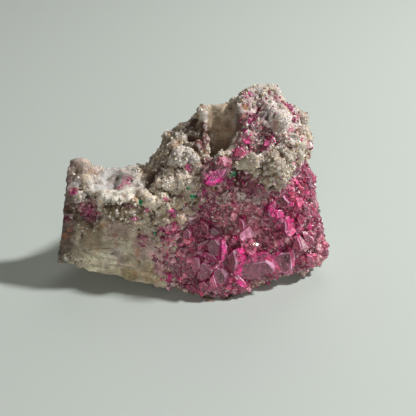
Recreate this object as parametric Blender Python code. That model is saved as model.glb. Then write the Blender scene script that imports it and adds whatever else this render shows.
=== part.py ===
"""Cobaltocalcite hand specimen: a rough block of pale carbonate rock that carries crusts of magenta
rhombohedral crystals.

The block lies on a flat facet under its middle, at z = 0. +X runs along its length, the main
crystal wall faces -Y, and +Z is up. Places and sizes are given in millimetres, in the design's own
coordinates. The last step moves the whole piece so that the middle of its box stands on the origin.
"""

import math
import random

import bmesh
import bpy
from mathutils import Matrix, Vector, noise
from mathutils.bvhtree import BVHTree

MM = 0.001

# ---- the host rock: angular masses, each the convex hull of its corners --------------------------

MASSES = {
    "crystal wall": [
        (1.5, -16, -2), (-7, -14, 0.6), (-14, -8, 1.5), (27, -7, 3.4), (27.5, -1, 4), (23, 9, 2),
        (8, 14, -2), (-9, 11, -2), (-9, -8, 22), (7, -8.5, 24), (16.5, -7, 25.5), (22.8, -2, 25),
        (21.5, 8, 26), (4, 13, 27), (-12, 9, 23), (24.6, -3.5, 15),
    ],
    "right foot": [
        (1.5, -16, 0.5), (12, -13, 1.2), (27.1, -7, 3.6), (28.4, -6, 5), (27.4, -6, 8.7),
        (24, -4.5, 12), (27, 2, 6), (24, 6, 3), (23, 4, 13), (4, -10, 10),
    ],
    "left block": [
        (-33, -9, 5), (-28.6, -10.2, 4.3), (-17.3, -12.2, 2.2), (-6.6, -14.2, 0.9), (-5, 8, 1),
        (-24, 3.5, 4), (-33, -2.6, 5.6), (-31.9, -6.5, 15.7), (-29, -8, 21.5), (-23.7, -9.2, 21.8),
        (-12.6, -9.2, 23.6), (-24.8, -1.2, 25.6), (-14, 1, 24.8), (-29.6, -3, 25.4), (-6, -10, 20),
    ],
    "left horn": [
        (-29.8, -5.2, 28.2), (-27.3, -4, 29.9), (-25.0, -2.6, 28), (-30, -8, 20), (-24.5, -7, 22),
        (-23.5, -1.4, 25), (-30.2, -2.8, 22), (-27.8, -2.2, 28),
    ],
    "ridge": [
        (-16, -8, 17), (-14, 3, 22), (-10.6, 0.8, 28.5), (-9.7, 1.4, 30.9), (-8.4, 2, 33.8),
        (-5.5, 2.4, 34.8), (-3.3, 2.8, 36.5), (-1.5, 3.2, 38.4), (1.5, 3.8, 39.9),
        (4.2, 3.8, 39.9), (-6, -11, 18), (2, -11, 20), (1, -6, 28), (-8, 8, 25), (2, 12, 30),
        (-12, -4, 24),
    ],
    "rib": [
        (-0.1, 1.8, 39.7), (-0.6, 0.6, 38.3), (-0.6, -0.8, 35.3), (-0.6, -2, 33.0),
        (-0.4, -3.4, 31.0), (-1.8, 3.6, 38.5), (-2, 4, 33), (-1.9, 1, 29), (0.4, 1, 29),
        (0.6, 4, 36), (-1.3, -2.6, 30),
    ],
    "spur": [
        (6.7, 2.4, 41.4), (7.3, -0.2, 39.6), (6.9, -2.2, 36.8), (5.4, -4.2, 33.7),
        (3.1, -6.4, 31.3), (-0.2, -8.4, 29.6), (0.6, -9.4, 27), (8, -9.4, 27), (9, -7.2, 33),
        (11, -2, 37), (9, 3, 30), (3, -3, 27),
    ],
    "head": [
        (4, -10, 24.5), (11.7, -10.6, 23.6), (17, -9.2, 25.6), (19.2, -7.2, 28.6),
        (21.6, -2, 29), (6.9, 3.4, 41.2), (9.8, 4.4, 42), (12.7, 4, 42.4), (15.2, 4, 41),
        (18.2, 4, 39), (20.6, 3, 37.2), (21.8, 2, 35.4), (22.6, 1, 33), (22, 0, 30.8),
        (9, -4.5, 36.4), (13, -3, 37.4), (18, -3.4, 35.6), (18.4, 12, 33), (9, 12, 37),
        (2, 11, 33), (20.5, 9, 26), (2, 12, 25), (6, -7.6, 32.4),
    ],
}

# Rounded lumps that stand out of the masses: centre, and the radii along x, y and z.
LUMPS = {
    "upper popcorn": ((-5.4, -1.8, 29.0), (4.4, 4.0, 3.6)),
    "upper popcorn left": ((-8.4, 0.6, 28.4), (2.6, 3.0, 2.8)),
    "upper popcorn right": ((-2.2, -4.0, 28.4), (2.6, 2.8, 2.6)),
    "middle popcorn": ((-8.2, -4.6, 24.6), (3.8, 3.4, 3.0)),
    "middle popcorn right": ((-3.4, -6.2, 25.0), (3.6, 3.2, 3.2)),
    "lower popcorn": ((-7.4, -7.8, 20.8), (3.4, 3.0, 2.8)),
    "ledge under the popcorn": ((-4.6, -9.2, 18.4), (3.4, 2.8, 3.0)),
    "tan ledge": ((-12.4, -8.2, 21.2), (4.4, 2.6, 2.2)),
    "tan ledge end": ((-8.4, -10.2, 17.8), (3.2, 2.2, 2.6)),
    "horn foot": ((-27.6, -6.4, 21.0), (2.8, 2.6, 4.2)),
    "cream lump": ((8.6, -8.6, 31.8), (3.4, 2.8, 3.0)),
    "spur": ((3.6, -6.6, 30.6), (3.4, 2.8, 2.8)),
    "upper tan knob": ((14.4, -8.6, 31.0), (3.2, 2.8, 3.6)),
    "lower tan knob": ((14.6, -9.4, 26.0), (3.2, 2.4, 2.4)),
    "brow": ((17.8, -6.4, 32.6), (3.0, 3.0, 4.2)),
    "right knob": ((20.4, -1.6, 32.4), (2.4, 2.8, 3.0)),
    "head front": ((14.2, -0.6, 37.4), (3.6, 3.4, 3.2)),
    "crown": ((12.0, 5.0, 39.2), (3.4, 3.8, 2.8)),
    "back shoulder": ((-9.0, 9.0, 17.0), (6.0, 4.6, 5.0)),
    "back hump": ((12.0, 11.0, 22.0), (8.0, 4.6, 8.0)),
}

# Hollows broken or weathered out of the masses, as tapered capsules: two ends, and a radius at each.
HOLLOWS = {
    "groove beside the popcorn": ((1.0, -5.4, 30.2), (0.4, -10.4, 27.0), 1.8, 1.4),
    "plateau": ((-22.4, -4.2, 31.2), (-16.6, -3.6, 30.6), 6.6, 6.0),
    "plateau pit": ((-20.6, -4.0, 25.9), (-19.6, -4.4, 25.5), 2.4, 2.0),
    "gully": ((-13.6, 0.8, 28.4), (-11.6, -6.0, 24.8), 2.0, 1.4),
    "overhang": ((5.6, -10.6, 22.4), (19.6, -9.2, 24.4), 1.5, 1.9),
    "overhang end": ((19.6, -9.2, 24.4), (24.6, -4.2, 27.6), 1.9, 1.8),
    "crevice": ((12.0, -10.2, 28.6), (18.4, -8.6, 29.4), 0.8, 0.9),
    "shade under the cream lump": ((6.2, -10.4, 28.0), (12.2, -10.4, 28.2), 1.3, 1.1),
    "lens": ((11.0, -3.6, 39.2), (12.8, -3.2, 37.2), 1.5, 1.5),
    "waist": ((27.0, -4.0, 28.4), (25.4, 8.0, 29.6), 3.6, 3.6),
    "horn notch": ((-32.6, -1.0, 26.6), (-32.8, -7.0, 24.6), 1.6, 1.6),
}

# Broad hollows with a smooth back wall: the wall's corners, then the open air in front of it.
NICHES = {
    "recess": [
        (0.3, 3.0, 39.0), (5.6, 2.0, 40.2), (0.4, 2.2, 34.6), (6.8, 0.6, 36.6), (0.2, 0.2, 29.8),
        (4.8, -1.8, 32.4), (2.2, -2.6, 27.8), (0.6, -1.4, 28.2),
        (0.0, -1, 46), (6.6, -1, 47), (-0.2, -5, 39), (7.9, -4, 42), (7.4, -6.5, 38),
        (0, -9.5, 35), (2.4, -9, 36),
    ],
    "dark side of the rib": [
        (-4.4, 2.0, 34.8), (-1.3, 2.4, 37.2), (-5.0, 0.6, 31.2), (-1.3, 0.2, 30.8),
        (-5.2, -5, 38), (-1.2, -4, 40.5), (-5, -5, 34), (-1.2, -5, 34),
    ],
}

REMESH_SIZE = 0.85          # voxel that turns the joined masses into one even surface
ROCK_TRIANGLES = 4000       # faces left on the rock after it is thinned out
COARSE_GRAIN = 5.5          # size of the larger bumps of the broken surface
FINE_GRAIN = 2.1            # size of the smaller bumps
COARSE_RELIEF = 1.5
FINE_RELIEF = 0.95
FINE_OFFSET = Vector((7, 3, 5))     # keeps the two sizes of bumps apart
PLAIN_HEIGHT = 0.3          # the relief starts at this height over the resting facet
FULL_RELIEF_HEIGHT = 1.7    # and is full from here
GROUND_SIZE = 200.0         # side of the block that the resting facet is cut with

# Faces that broke smooth: centre, radius, and the share of the relief that is left there.
SMOOTH_AREAS = {
    "left face": ((-20.0, -13.0, 9.0), 12.5, 0.22),
    "recess": ((3.0, 0.8, 34.6), 7.0, 0.10),
    "plateau": ((-20.0, -4.4, 24.6), 6.0, 0.35),
    "underside": ((0.0, 0.0, -16.0), 22.0, 0.30),
}


# ---- the crystal crusts ----------------------------------------------------------------------------

GAP = 0.3                   # clearance between a crust and the rock that it grew on
SIDE_GAP_SHARE = 1.5        # a crust's slanting sides need this many gaps to stay clear
SEED = 7

# The crystal wall grew over two zones of the rock: outlines on the rock's surface, the way that each
# faces, as turn and tilt in degrees, and the share by which it widens outwards.
WALL_DEPTH = 2.6
WALL_HEIGHT = 6.0
WALL_ZONES = {
    "front": (
        [
            (1.5, -16, 0.9), (8, -14.8, 2.0), (12.6, -13, 2.6), (13.5, -9.6, 22.6),
            (11.7, -9.6, 22.8), (5.5, -9.2, 24.4), (-0.5, -9.8, 21.6), (-5, -11.8, 15.5),
            (-7, -13.2, 8.3), (-5.8, -14, 3),
        ],
        (0, 22), 1.12,
    ),
    "right": (
        [
            (11, -13.4, 2.4), (18.1, -11, 3.6), (27, -7.4, 4.6), (28.8, -6, 5.8), (28, -4.6, 9.2),
            (25.4, -2, 12), (25, -0.5, 18), (24.4, 0.5, 24), (22.6, -0.5, 28.6), (20.2, -5, 27.2),
            (16, -8.8, 24.8), (11.7, -9.8, 22.8),
        ],
        (30, 18), 1.12,
    ),
}

# Small crusts in pockets of the rock: middle, turn and tilt of the way that it faces, half width,
# half height, and the number of crystals.
SMALL_CRUSTS = {
    "ledge_crystals": ((1.6, -8.8, 29.6), (12, 35), 3.0, 2.2, 9),
    "pocket_crystals": ((6.9, -6.4, 33.5), (-15, 35), 1.5, 1.5, 4),
    "head_crystals": ((10.6, -5.6, 34.8), (8, 35), 1.7, 1.4, 4),
    "tan_ledge_crystals": ((-7.6, -11.7, 15.8), (-5, 20), 1.7, 1.7, 4),
    "left_face_crystals": ((-26.6, -8.5, 18.8), (-8, 10), 2.6, 2.5, 7),
    "left_end_crystals": ((-31.4, -4.6, 18.4), (-85, 5), 1.6, 3.6, 6),
}
SMALL_CRUST_DEPTH = 1.6
SMALL_CRUST_HEIGHT = 4.0
SMALL_CRUST_FLARE = 1.5
SMALL_CRUST_SIDES = 8
SMALL_CRUST_RAGGED = 0.22   # share by which the corners of a small crust stray from an oval

# Large crystals of the wall: middle of the front face, its turn, tilt and roll in degrees, its
# width, height and depth, and the lean of its sides in degrees.
LARGE_CRYSTALS = {
    "grey heart": ((1.6, -13.4, 12.2), (-18, 12, -4), (3.6, 3.7, 4.0), 10),
    "heart rim": ((3.9, -13.6, 11.6), (38, 14, -8), (1.7, 4.4, 3.4), -12),
    "heart crown": ((1.7, -13.0, 14.5), (6, 52, -14), (3.2, 1.5, 3.0), 10),
    "bar": ((0.6, -13.9, 9.8), (8, 42, -32), (3.6, 1.7, 3.0), 6),
    "lower heart": ((-0.3, -14.0, 6.8), (-16, 8, 14), (3.4, 3.0, 3.4), 14),
    "keystone": ((3.0, -15.0, 6.0), (2, 16, 24), (3.6, 3.9, 4.0), 14),
    "red spire": ((5.6, -14.0, 8.6), (-36, 10, 14), (2.7, 4.9, 3.2), 16),
    "broad slab": ((11.0, -13.6, 6.6), (8, 12, 9), (6.4, 3.0, 4.6), 18),
    "mauve square": ((17.0, -11.2, 6.4), (10, 22, -4), (4.5, 5.0, 4.0), 5),
    "lilac step": ((8.5, -11.8, 14.2), (16, 44, 24), (3.5, 2.6, 3.4), 12),
    "bead": ((5.7, -12.0, 13.7), (10, 20, 30), (1.4, 1.4, 2.0), 12),
    "red wedge": ((7.3, -11.2, 17.0), (-28, 14, 10), (1.5, 3.2, 2.4), 18),
    "outer column": ((-5.0, -12.3, 8.8), (-18, 8, -3), (1.7, 4.8, 2.6), 8),
    "inner column": ((-3.3, -12.9, 8.4), (10, 10, -5), (2.4, 5.4, 2.8), -8),
    "foot left": ((-1.4, -14.6, 3.9), (-12, 18, -14), (2.7, 3.8, 3.2), 12),
    "foot middle": ((0.9, -15.4, 3.9), (8, 10, -12), (2.1, 3.8, 3.0), 14),
    "foot right": ((3.2, -15.6, 2.9), (14, 6, 8), (2.8, 2.6, 3.0), 10),
    "foot wedge": ((6.8, -14.9, 4.2), (22, 28, -30), (3.8, 2.4, 3.0), 14),
    "rose face": ((1.9, -11.8, 16.2), (2, 22, 20), (3.4, 2.8, 3.2), 12),
    "rose edge": ((-0.8, -11.1, 15.9), (-20, 24, 42), (1.7, 2.9, 2.6), 12),
    "small bar": ((-1.3, -12.2, 12.6), (-10, 30, 28), (2.8, 1.5, 2.6), 10),
    "pale chip": ((-1.7, -12.3, 10.2), (-22, 40, 10), (1.8, 1.7, 2.4), 8),
    "lilac left": ((-3.9, -12.1, 14.4), (-12, 20, -10), (2.4, 2.7, 2.8), 10),
    "leaf": ((14.1, -9.4, 19.3), (32, 20, -18), (1.8, 3.2, 2.8), 16),
    "leaf twin": ((16.0, -9.2, 17.8), (40, 18, -28), (1.8, 2.9, 2.8), 16),
    "plum": ((15.4, -8.2, 20.9), (20, 4, 18), (2.7, 2.5, 3.0), 12),
    "blade": ((17.3, -10.0, 14.7), (34, 16, -14), (2.2, 4.9, 3.4), 16),
    "white prow": ((20.7, -9.6, 10.6), (34, 24, 26), (3.2, 3.0, 3.4), 14),
    "egg": ((20.9, -8.2, 16.0), (44, 16, 10), (1.9, 2.4, 2.6), 10),
    "dull face": ((23.2, -7.8, 10.0), (30, 12, -8), (2.7, 3.4, 3.4), 8),
    "low pink": ((23.6, -9.3, 6.0), (20, 8, 4), (1.9, 2.4, 2.6), 8),
    "foot block": ((25.6, -7.0, 8.2), (32, 22, 12), (2.4, 2.2, 2.8), 10),
    "thin pane": ((18.9, -9.6, 7.4), (42, 14, -8), (1.3, 3.1, 2.4), 12),
    "side block": ((22.9, -4.8, 19.8), (52, 14, 4), (1.9, 2.1, 2.4), 10),
    "side pane": ((21.1, -5.4, 21.1), (40, 16, -6), (1.7, 2.2, 2.4), 12),
}

SMALL_WALL_CRYSTALS = 64
SMALL_CRYSTAL_SIZES = (1.1, 2.1)
SMALL_CRYSTAL_SIDES = (0.75, 1.25)  # shares of its size that a small crystal's sides have
SMALL_CRYSTAL_LEAN = 14
SMALL_CRYSTAL_RISE = 0.45   # share of its size that a small crystal stands out of the rock
SPREAD = 42                 # degrees by which small crystals turn away from the surface
CRUST_BED_SHARE = 0.5       # share of the rock's faces that is left under a crust's crystals

ROCK_COLOR, ROCK_ROUGHNESS = (0.62, 0.56, 0.47), 0.9
CRYSTAL_COLOR, CRYSTAL_ROUGHNESS = (0.52, 0.06, 0.22), 0.35


def clear_scene():
    for obj in list(bpy.data.objects):
        bpy.data.objects.remove(obj)


def object_from(bm, name):
    mesh = bpy.data.meshes.new(name)
    bm.to_mesh(mesh)
    bm.free()
    obj = bpy.data.objects.new(name, mesh)
    bpy.context.scene.collection.objects.link(obj)
    return obj


def apply_modifier(obj, kind, **settings):
    """Run one modifier on the object and keep its result as the object's own mesh."""
    modifier = obj.modifiers.new(kind, kind)
    for setting, value in settings.items():
        setattr(modifier, setting, value)
    graph = bpy.context.evaluated_depsgraph_get()
    result = bpy.data.meshes.new_from_object(obj.evaluated_get(graph))
    obj.modifiers.clear()
    obj.data = result


def combine(obj, other, operation, other_overlaps_itself=False):
    """Join, cut or intersect obj with other, and remove other."""
    apply_modifier(
        obj, "BOOLEAN", operation=operation, object=other, solver="EXACT",
        use_self=other_overlaps_itself,
    )
    bpy.data.objects.remove(other)


def hull(name, corners):
    bm = bmesh.new()
    for corner in corners:
        bm.verts.new(Vector(corner) * MM)
    made = bmesh.ops.convex_hull(bm, input=bm.verts)
    inside = [part for part in made["geom_interior"] if isinstance(part, bmesh.types.BMVert)]
    bmesh.ops.delete(bm, geom=inside, context="VERTS")
    bmesh.ops.recalc_face_normals(bm, faces=bm.faces)
    return object_from(bm, name)


def lump(name, centre, radii):
    bm = bmesh.new()
    shape = Matrix.Translation(Vector(centre) * MM) @ Matrix.Diagonal((*(Vector(radii) * MM), 1))
    bmesh.ops.create_icosphere(bm, subdivisions=2, radius=1.0, matrix=shape)
    return object_from(bm, name)


def tapered_capsule(name, start, end, start_radius, end_radius):
    """The convex hull of two balls."""
    bm = bmesh.new()
    for centre, radius in ((start, start_radius), (end, end_radius)):
        place = Matrix.Translation(Vector(centre) * MM)
        bmesh.ops.create_icosphere(bm, subdivisions=2, radius=radius * MM, matrix=place)
    bmesh.ops.delete(bm, geom=bm.faces[:], context="FACES_KEEP_BOUNDARY")
    corners = [v.co / MM for v in bm.verts]
    bm.free()
    return hull(name, corners)


def relief_share(point):
    """How much of the broken relief is left at a point: 1 on crumbly rock, little on smooth faces."""
    share = 1.0
    for centre, radius, least in SMOOTH_AREAS.values():
        reach = (point - Vector(centre)).length / radius
        nearness = max(0.0, min(1.0, 2.0 * (1.0 - reach)))
        share = min(share, 1.0 + (least - 1.0) * nearness)
    climb = (point.z - PLAIN_HEIGHT) / (FULL_RELIEF_HEIGHT - PLAIN_HEIGHT)
    return share * max(0.0, min(1.0, climb))


def roughen(obj):
    """Push the even surface in and out along its normals by two sizes of noise."""
    mesh = obj.data
    normals = [vertex.normal.copy() for vertex in mesh.vertices]
    for vertex, normal in zip(mesh.vertices, normals):
        point = vertex.co / MM
        coarse = noise.noise(point / COARSE_GRAIN) * COARSE_RELIEF
        fine = noise.noise(point / FINE_GRAIN + FINE_OFFSET) * FINE_RELIEF
        vertex.co += normal * (coarse + fine) * relief_share(point) * MM


def cut_flat(obj):
    """Slice away all that is under z = 0, and close the cut with a flat face."""
    middle = Matrix.Translation((0, 0, -GROUND_SIZE * MM / 2))
    bm = bmesh.new()
    bmesh.ops.create_cube(bm, size=GROUND_SIZE * MM, matrix=middle)
    combine(obj, object_from(bm, "ground"), "DIFFERENCE")


def united(objects):
    first, *others = objects
    for other in others:
        combine(first, other, "UNION")
    return first


def build_rock():
    rock = united([hull(name, corners) for name, corners in MASSES.items()])
    for name, (centre, radii) in LUMPS.items():
        combine(rock, lump(name, centre, radii), "UNION")
    for name, corners in NICHES.items():
        combine(rock, hull(name, corners), "DIFFERENCE")
    for name, capsule in HOLLOWS.items():
        combine(rock, tapered_capsule(name, *capsule), "DIFFERENCE")
    apply_modifier(rock, "REMESH", mode="VOXEL", voxel_size=REMESH_SIZE * MM)
    roughen(rock)
    share_kept = ROCK_TRIANGLES / (2 * len(rock.data.polygons))
    apply_modifier(rock, "DECIMATE", ratio=share_kept, use_collapse_triangulate=True)
    cut_flat(rock)
    return rock


def facing(turn, tilt):
    """The direction that a face looks: turn 0 is -Y, and turns grow towards +X; tilt is upwards."""
    turn, tilt = math.radians(turn), math.radians(tilt)
    level = math.cos(tilt)
    return Vector((math.sin(turn) * level, -math.cos(turn) * level, math.sin(tilt)))


def face_frame(normal, roll):
    """Two directions across a face, right and up, turned by roll, and its normal."""
    right = Vector((0, 0, 1)).cross(normal).normalized()
    spin = Matrix.Rotation(math.radians(roll), 3, normal)
    right = spin @ right
    return right, normal.cross(right), normal


def frustum(name, outline, normal, depth, height, flare, gap):
    """A convex zone through a patch of surface: sunk under its outline, and raised and widened."""
    middle = sum((Vector(corner) for corner in outline), Vector()) / len(outline)
    corners = []
    for corner in outline:
        from_middle = Vector(corner) - middle
        widened = from_middle * (1 + SIDE_GAP_SHARE * gap / from_middle.length)
        corners.append(middle + widened - normal * (depth + gap))
        corners.append(middle + widened * flare + normal * height)
    return hull(name, corners)


def add_crystal(bm, place, normal, roll, size, lean):
    """A leaning block, the cleavage shape of calcite, whose front face lies at its place."""
    right, up, out = face_frame(normal, roll)
    width, height, depth = size
    slant = math.tan(math.radians(lean))
    corners = []
    for across in (-0.5, 0.5):
        for along in (-0.5, 0.5):
            front = Vector(place) + right * (across * width + along * height * slant)
            front += up * along * height
            back = front - out * depth + up * depth * slant * 0.5
            corners += [front, back]
    verts = [bm.verts.new(corner * MM) for corner in corners]
    quads = ((0, 2, 6, 4), (1, 5, 7, 3), (0, 1, 3, 2), (4, 6, 7, 5), (0, 4, 5, 1), (2, 3, 7, 6))
    faces = [bm.faces.new([verts[index] for index in quad]) for quad in quads]
    bmesh.ops.recalc_face_normals(bm, faces=faces)


def rock_surface(rock):
    corners = [vertex.co / MM for vertex in rock.data.vertices]
    return BVHTree.FromPolygons(corners, [tuple(p.vertices) for p in rock.data.polygons])


def add_small_crystal(bm, surface, start, normal, dice):
    """One small crystal where a line from start against the normal meets the rock."""
    place, outward, _, _ = surface.ray_cast(start + normal * WALL_HEIGHT, -normal)
    if place is None:
        return
    right, up, _ = face_frame(outward, 0)
    tip = Matrix.Rotation(math.radians(dice.uniform(-SPREAD, SPREAD)), 3, right)
    swing = Matrix.Rotation(math.radians(dice.uniform(-SPREAD, SPREAD)), 3, up)
    size = dice.uniform(*SMALL_CRYSTAL_SIZES)
    sides = [size * dice.uniform(*SMALL_CRYSTAL_SIDES) for _ in range(3)]
    front = place + outward * size * SMALL_CRYSTAL_RISE
    add_crystal(bm, front, tip @ swing @ outward, dice.uniform(0, 90), sides, SMALL_CRYSTAL_LEAN)


def wall_crystals(rock, dice):
    bm = bmesh.new()
    for place, (turn, tilt, roll), size, lean in LARGE_CRYSTALS.values():
        add_crystal(bm, place, facing(turn, tilt), roll, size, lean)
    surface = rock_surface(rock)
    zones = list(WALL_ZONES.values())
    for index in range(SMALL_WALL_CRYSTALS):
        outline, direction, _ = zones[index % len(zones)]
        start = random_point_in(outline, dice)
        add_small_crystal(bm, surface, start, facing(*direction), dice)
    return object_from(bm, "wall crystals")


def random_point_in(outline, dice):
    """A point in the convex outline: a random mix of three of its corners."""
    corners = [Vector(corner) for corner in dice.sample(outline, 3)]
    shares = [dice.random() for _ in corners]
    return sum((corner * share for corner, share in zip(corners, shares)), Vector()) / sum(shares)


def wall_zone(gap):
    return united([
        frustum(name, outline, facing(*direction), WALL_DEPTH, WALL_HEIGHT, flare, gap)
        for name, (outline, direction, flare) in WALL_ZONES.items()
    ])


def patch_outline(middle, normal, half_width, half_height, dice):
    """A ragged oval around the middle, across the normal."""
    right, up, _ = face_frame(normal, 0)
    corners = []
    for side in range(SMALL_CRUST_SIDES):
        angle = math.tau * (side + dice.random()) / SMALL_CRUST_SIDES
        reach = 1 + dice.uniform(-SMALL_CRUST_RAGGED, SMALL_CRUST_RAGGED)
        offset = right * math.cos(angle) * half_width + up * math.sin(angle) * half_height
        corners.append(Vector(middle) + offset * reach)
    return corners


def grow_crust(rock, name, crystals, zone, wide_zone):
    """Part a crust with its crystals from the rock, and leave the gap between the two."""
    crust = object_from_mesh(rock.data.copy(), name)
    apply_modifier(crust, "DECIMATE", ratio=CRUST_BED_SHARE, use_collapse_triangulate=True)
    combine(crust, crystals, "UNION", other_overlaps_itself=True)
    combine(crust, zone, "INTERSECT")
    combine(rock, wide_zone, "DIFFERENCE")
    drop_chips(crust)
    return crust


def object_from_mesh(mesh, name):
    obj = bpy.data.objects.new(name, mesh)
    bpy.context.scene.collection.objects.link(obj)
    return obj


def body_of(start, taken):
    """The corners that are connected to start, which are marked as taken."""
    body = [start]
    taken.add(start)
    for vertex in body:
        for edge in vertex.link_edges:
            neighbour = edge.other_vert(vertex)
            if neighbour not in taken:
                taken.add(neighbour)
                body.append(neighbour)
    return body


def drop_chips(obj):
    """Keep the largest connected body of a mesh."""
    bm = bmesh.new()
    bm.from_mesh(obj.data)
    taken = set()
    bodies = [body_of(vertex, taken) for vertex in bm.verts if vertex not in taken]
    bodies.sort(key=len)
    for chip in bodies[:-1]:
        bmesh.ops.delete(bm, geom=chip, context="VERTS")
    bm.to_mesh(obj.data)
    bm.free()


def grow_small_crust(rock, name, dice):
    middle, direction, half_width, half_height, count = SMALL_CRUSTS[name]
    normal = facing(*direction)
    outline = patch_outline(middle, normal, half_width, half_height, dice)
    surface = rock_surface(rock)
    bm = bmesh.new()
    for _ in range(count):
        add_small_crystal(bm, surface, random_point_in(outline, dice), normal, dice)
    crystals = object_from(bm, "crystals")
    zones = [
        frustum("zone", outline, normal, SMALL_CRUST_DEPTH, SMALL_CRUST_HEIGHT, SMALL_CRUST_FLARE, gap)
        for gap in (0, GAP)
    ]
    return grow_crust(rock, name, crystals, *zones)


def material(name, color, roughness):
    made = bpy.data.materials.new(name)
    made.use_nodes = True
    shader = made.node_tree.nodes["Principled BSDF"]
    shader.inputs["Base Color"].default_value = (*color, 1)
    shader.inputs["Roughness"].default_value = roughness
    return made


def paint(obj, finish):
    obj.data.materials.clear()
    obj.data.materials.append(finish)


def stand_on_origin(parts):
    """Move every part so that the middle of the whole box's bottom is the origin."""
    corners = [vertex.co for part in parts for vertex in part.data.vertices]
    low = Vector([min(corner[axis] for corner in corners) for axis in range(3)])
    high = Vector([max(corner[axis] for corner in corners) for axis in range(3)])
    shift = Vector((-(low.x + high.x) / 2, -(low.y + high.y) / 2, -low.z))
    for part in parts:
        part.data.transform(Matrix.Translation(shift))


def build():
    clear_scene()
    dice = random.Random(SEED)
    rock = build_rock()
    rock.name = "matrix"
    crystals = wall_crystals(rock, dice)
    crusts = [grow_crust(rock, "crystal_wall", crystals, wall_zone(0), wall_zone(GAP))]
    for name in SMALL_CRUSTS:
        crusts.append(grow_small_crust(rock, name, dice))
    drop_chips(rock)
    paint(rock, material("pale carbonate rock", ROCK_COLOR, ROCK_ROUGHNESS))
    magenta = material("magenta calcite", CRYSTAL_COLOR, CRYSTAL_ROUGHNESS)
    for crust in crusts:
        paint(crust, magenta)
    stand_on_origin([rock, *crusts])


build()
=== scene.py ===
"""A cobaltocalcite hand specimen: pale crumbly host rock with crusts of magenta crystals.

Places and sizes are in millimetres, measured from the design's own zero. at() turns them into the
frame's metres. The rock is one closed skin over its solid. Each crust is a bed with crystals on it.
"""

import math
import random

import bmesh
import bpy
import numpy as np
from mathutils import Matrix, Vector, noise
from mathutils.bvhtree import BVHTree


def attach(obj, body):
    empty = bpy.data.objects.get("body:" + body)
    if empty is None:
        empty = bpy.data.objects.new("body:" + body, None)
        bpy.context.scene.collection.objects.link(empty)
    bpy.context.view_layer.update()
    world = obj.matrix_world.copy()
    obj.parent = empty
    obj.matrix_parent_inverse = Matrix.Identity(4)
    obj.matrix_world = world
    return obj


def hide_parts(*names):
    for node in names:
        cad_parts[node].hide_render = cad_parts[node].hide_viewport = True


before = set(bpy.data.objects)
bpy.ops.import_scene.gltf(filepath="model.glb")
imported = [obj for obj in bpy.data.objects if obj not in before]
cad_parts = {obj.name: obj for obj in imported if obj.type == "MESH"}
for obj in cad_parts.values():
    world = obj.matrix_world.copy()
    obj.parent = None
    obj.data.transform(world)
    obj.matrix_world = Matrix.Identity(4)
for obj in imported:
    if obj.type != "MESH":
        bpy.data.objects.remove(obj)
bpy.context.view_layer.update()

MM = 0.001
DESIGN_ZERO = Vector((2.777, 0.0, 0.0))     # the design's zero, seen from the frame's origin
SEED = 11
GAP = 0.3                                   # clearance between the solids of the rock and the crusts
SEEN_FROM = np.array((0.35, -0.85, 0.40))   # crystals grow on what faces this way


# ---- small tools ------------------------------------------------------------------------------------

def at(point):
    """A point of the design, in millimetres, as a place in the frame."""
    return (Vector(point) + DESIGN_ZERO) * MM


def facing(turn, tilt):
    """The way that a face looks: turn 0 is -Y and grows towards +X, and tilt is upwards."""
    turn, tilt = math.radians(turn), math.radians(tilt)
    level = math.cos(tilt)
    return Vector((math.sin(turn) * level, -math.cos(turn) * level, math.sin(tilt)))


def face_frame(normal, roll=0):
    """A turn whose X runs across a face, whose Y runs up it, and whose Z is its normal."""
    across = Vector((0, 0, 1)).cross(normal).normalized()
    across = Matrix.Rotation(math.radians(roll), 3, normal) @ across
    return Matrix((across, normal.cross(across), normal)).transposed()


def deselect_all():
    for other in bpy.context.selected_objects:
        other.select_set(False)


def select_only(obj):
    deselect_all()
    obj.select_set(True)
    bpy.context.view_layer.objects.active = obj


def apply_modifier(obj, kind, **settings):
    select_only(obj)
    modifier = obj.modifiers.new(kind.title(), kind)
    for setting, value in settings.items():
        setattr(modifier, setting, value)
    bpy.ops.object.modifier_apply(modifier=modifier.name)


def join(objects, name):
    """Join objects into the first of them."""
    select_only(objects[0])
    for obj in objects:
        obj.select_set(True)
    bpy.ops.object.join()
    objects[0].name = name
    return objects[0]


def fit(piece, node):
    """Put a finished piece on the body, in place of its solid."""
    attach(piece, "root")
    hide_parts(node)


def object_of(mesh):
    obj = bpy.data.objects.new(mesh.name, mesh)
    bpy.context.scene.collection.objects.link(obj)
    return obj


def copy_of_node(node, name):
    """A copy of a solid's mesh with its loose triangles joined."""
    bm = bmesh.new()
    bm.from_mesh(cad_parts[node].data)
    bmesh.ops.remove_doubles(bm, verts=bm.verts, dist=1e-7)
    mesh = bpy.data.meshes.new(name)
    bm.to_mesh(mesh)
    bm.free()
    return object_of(mesh)


def tree_of(obj):
    """A mesh as a search tree."""
    corners = [vertex.co.copy() for vertex in obj.data.vertices]
    return BVHTree.FromPolygons(corners, [tuple(face.vertices) for face in obj.data.polygons])


def from_node(points, node):
    """The distance of points, in metres, from a solid, in millimetres."""
    tree = tree_of(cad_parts[node])
    return np.array([tree.find_nearest(Vector(point))[3] for point in points]) / MM


def read(items, field, width=1, kind=float):
    """One field of all of a mesh's points, edges or faces, as an array."""
    flat = np.empty(len(items) * width, kind)
    items.foreach_get(field, flat)
    return flat.reshape(-1, width) if width > 1 else flat


def positions(obj):
    return read(obj.data.vertices, "co", 3)


def normals(obj):
    return read(obj.data.vertex_normals, "vector", 3)


def set_positions(obj, places):
    obj.data.vertices.foreach_set("co", np.asarray(places).ravel())
    obj.data.update()


def design_points(obj):
    """A mesh's points in millimetres of the design."""
    return positions(obj) / MM - np.array(DESIGN_ZERO)


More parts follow.
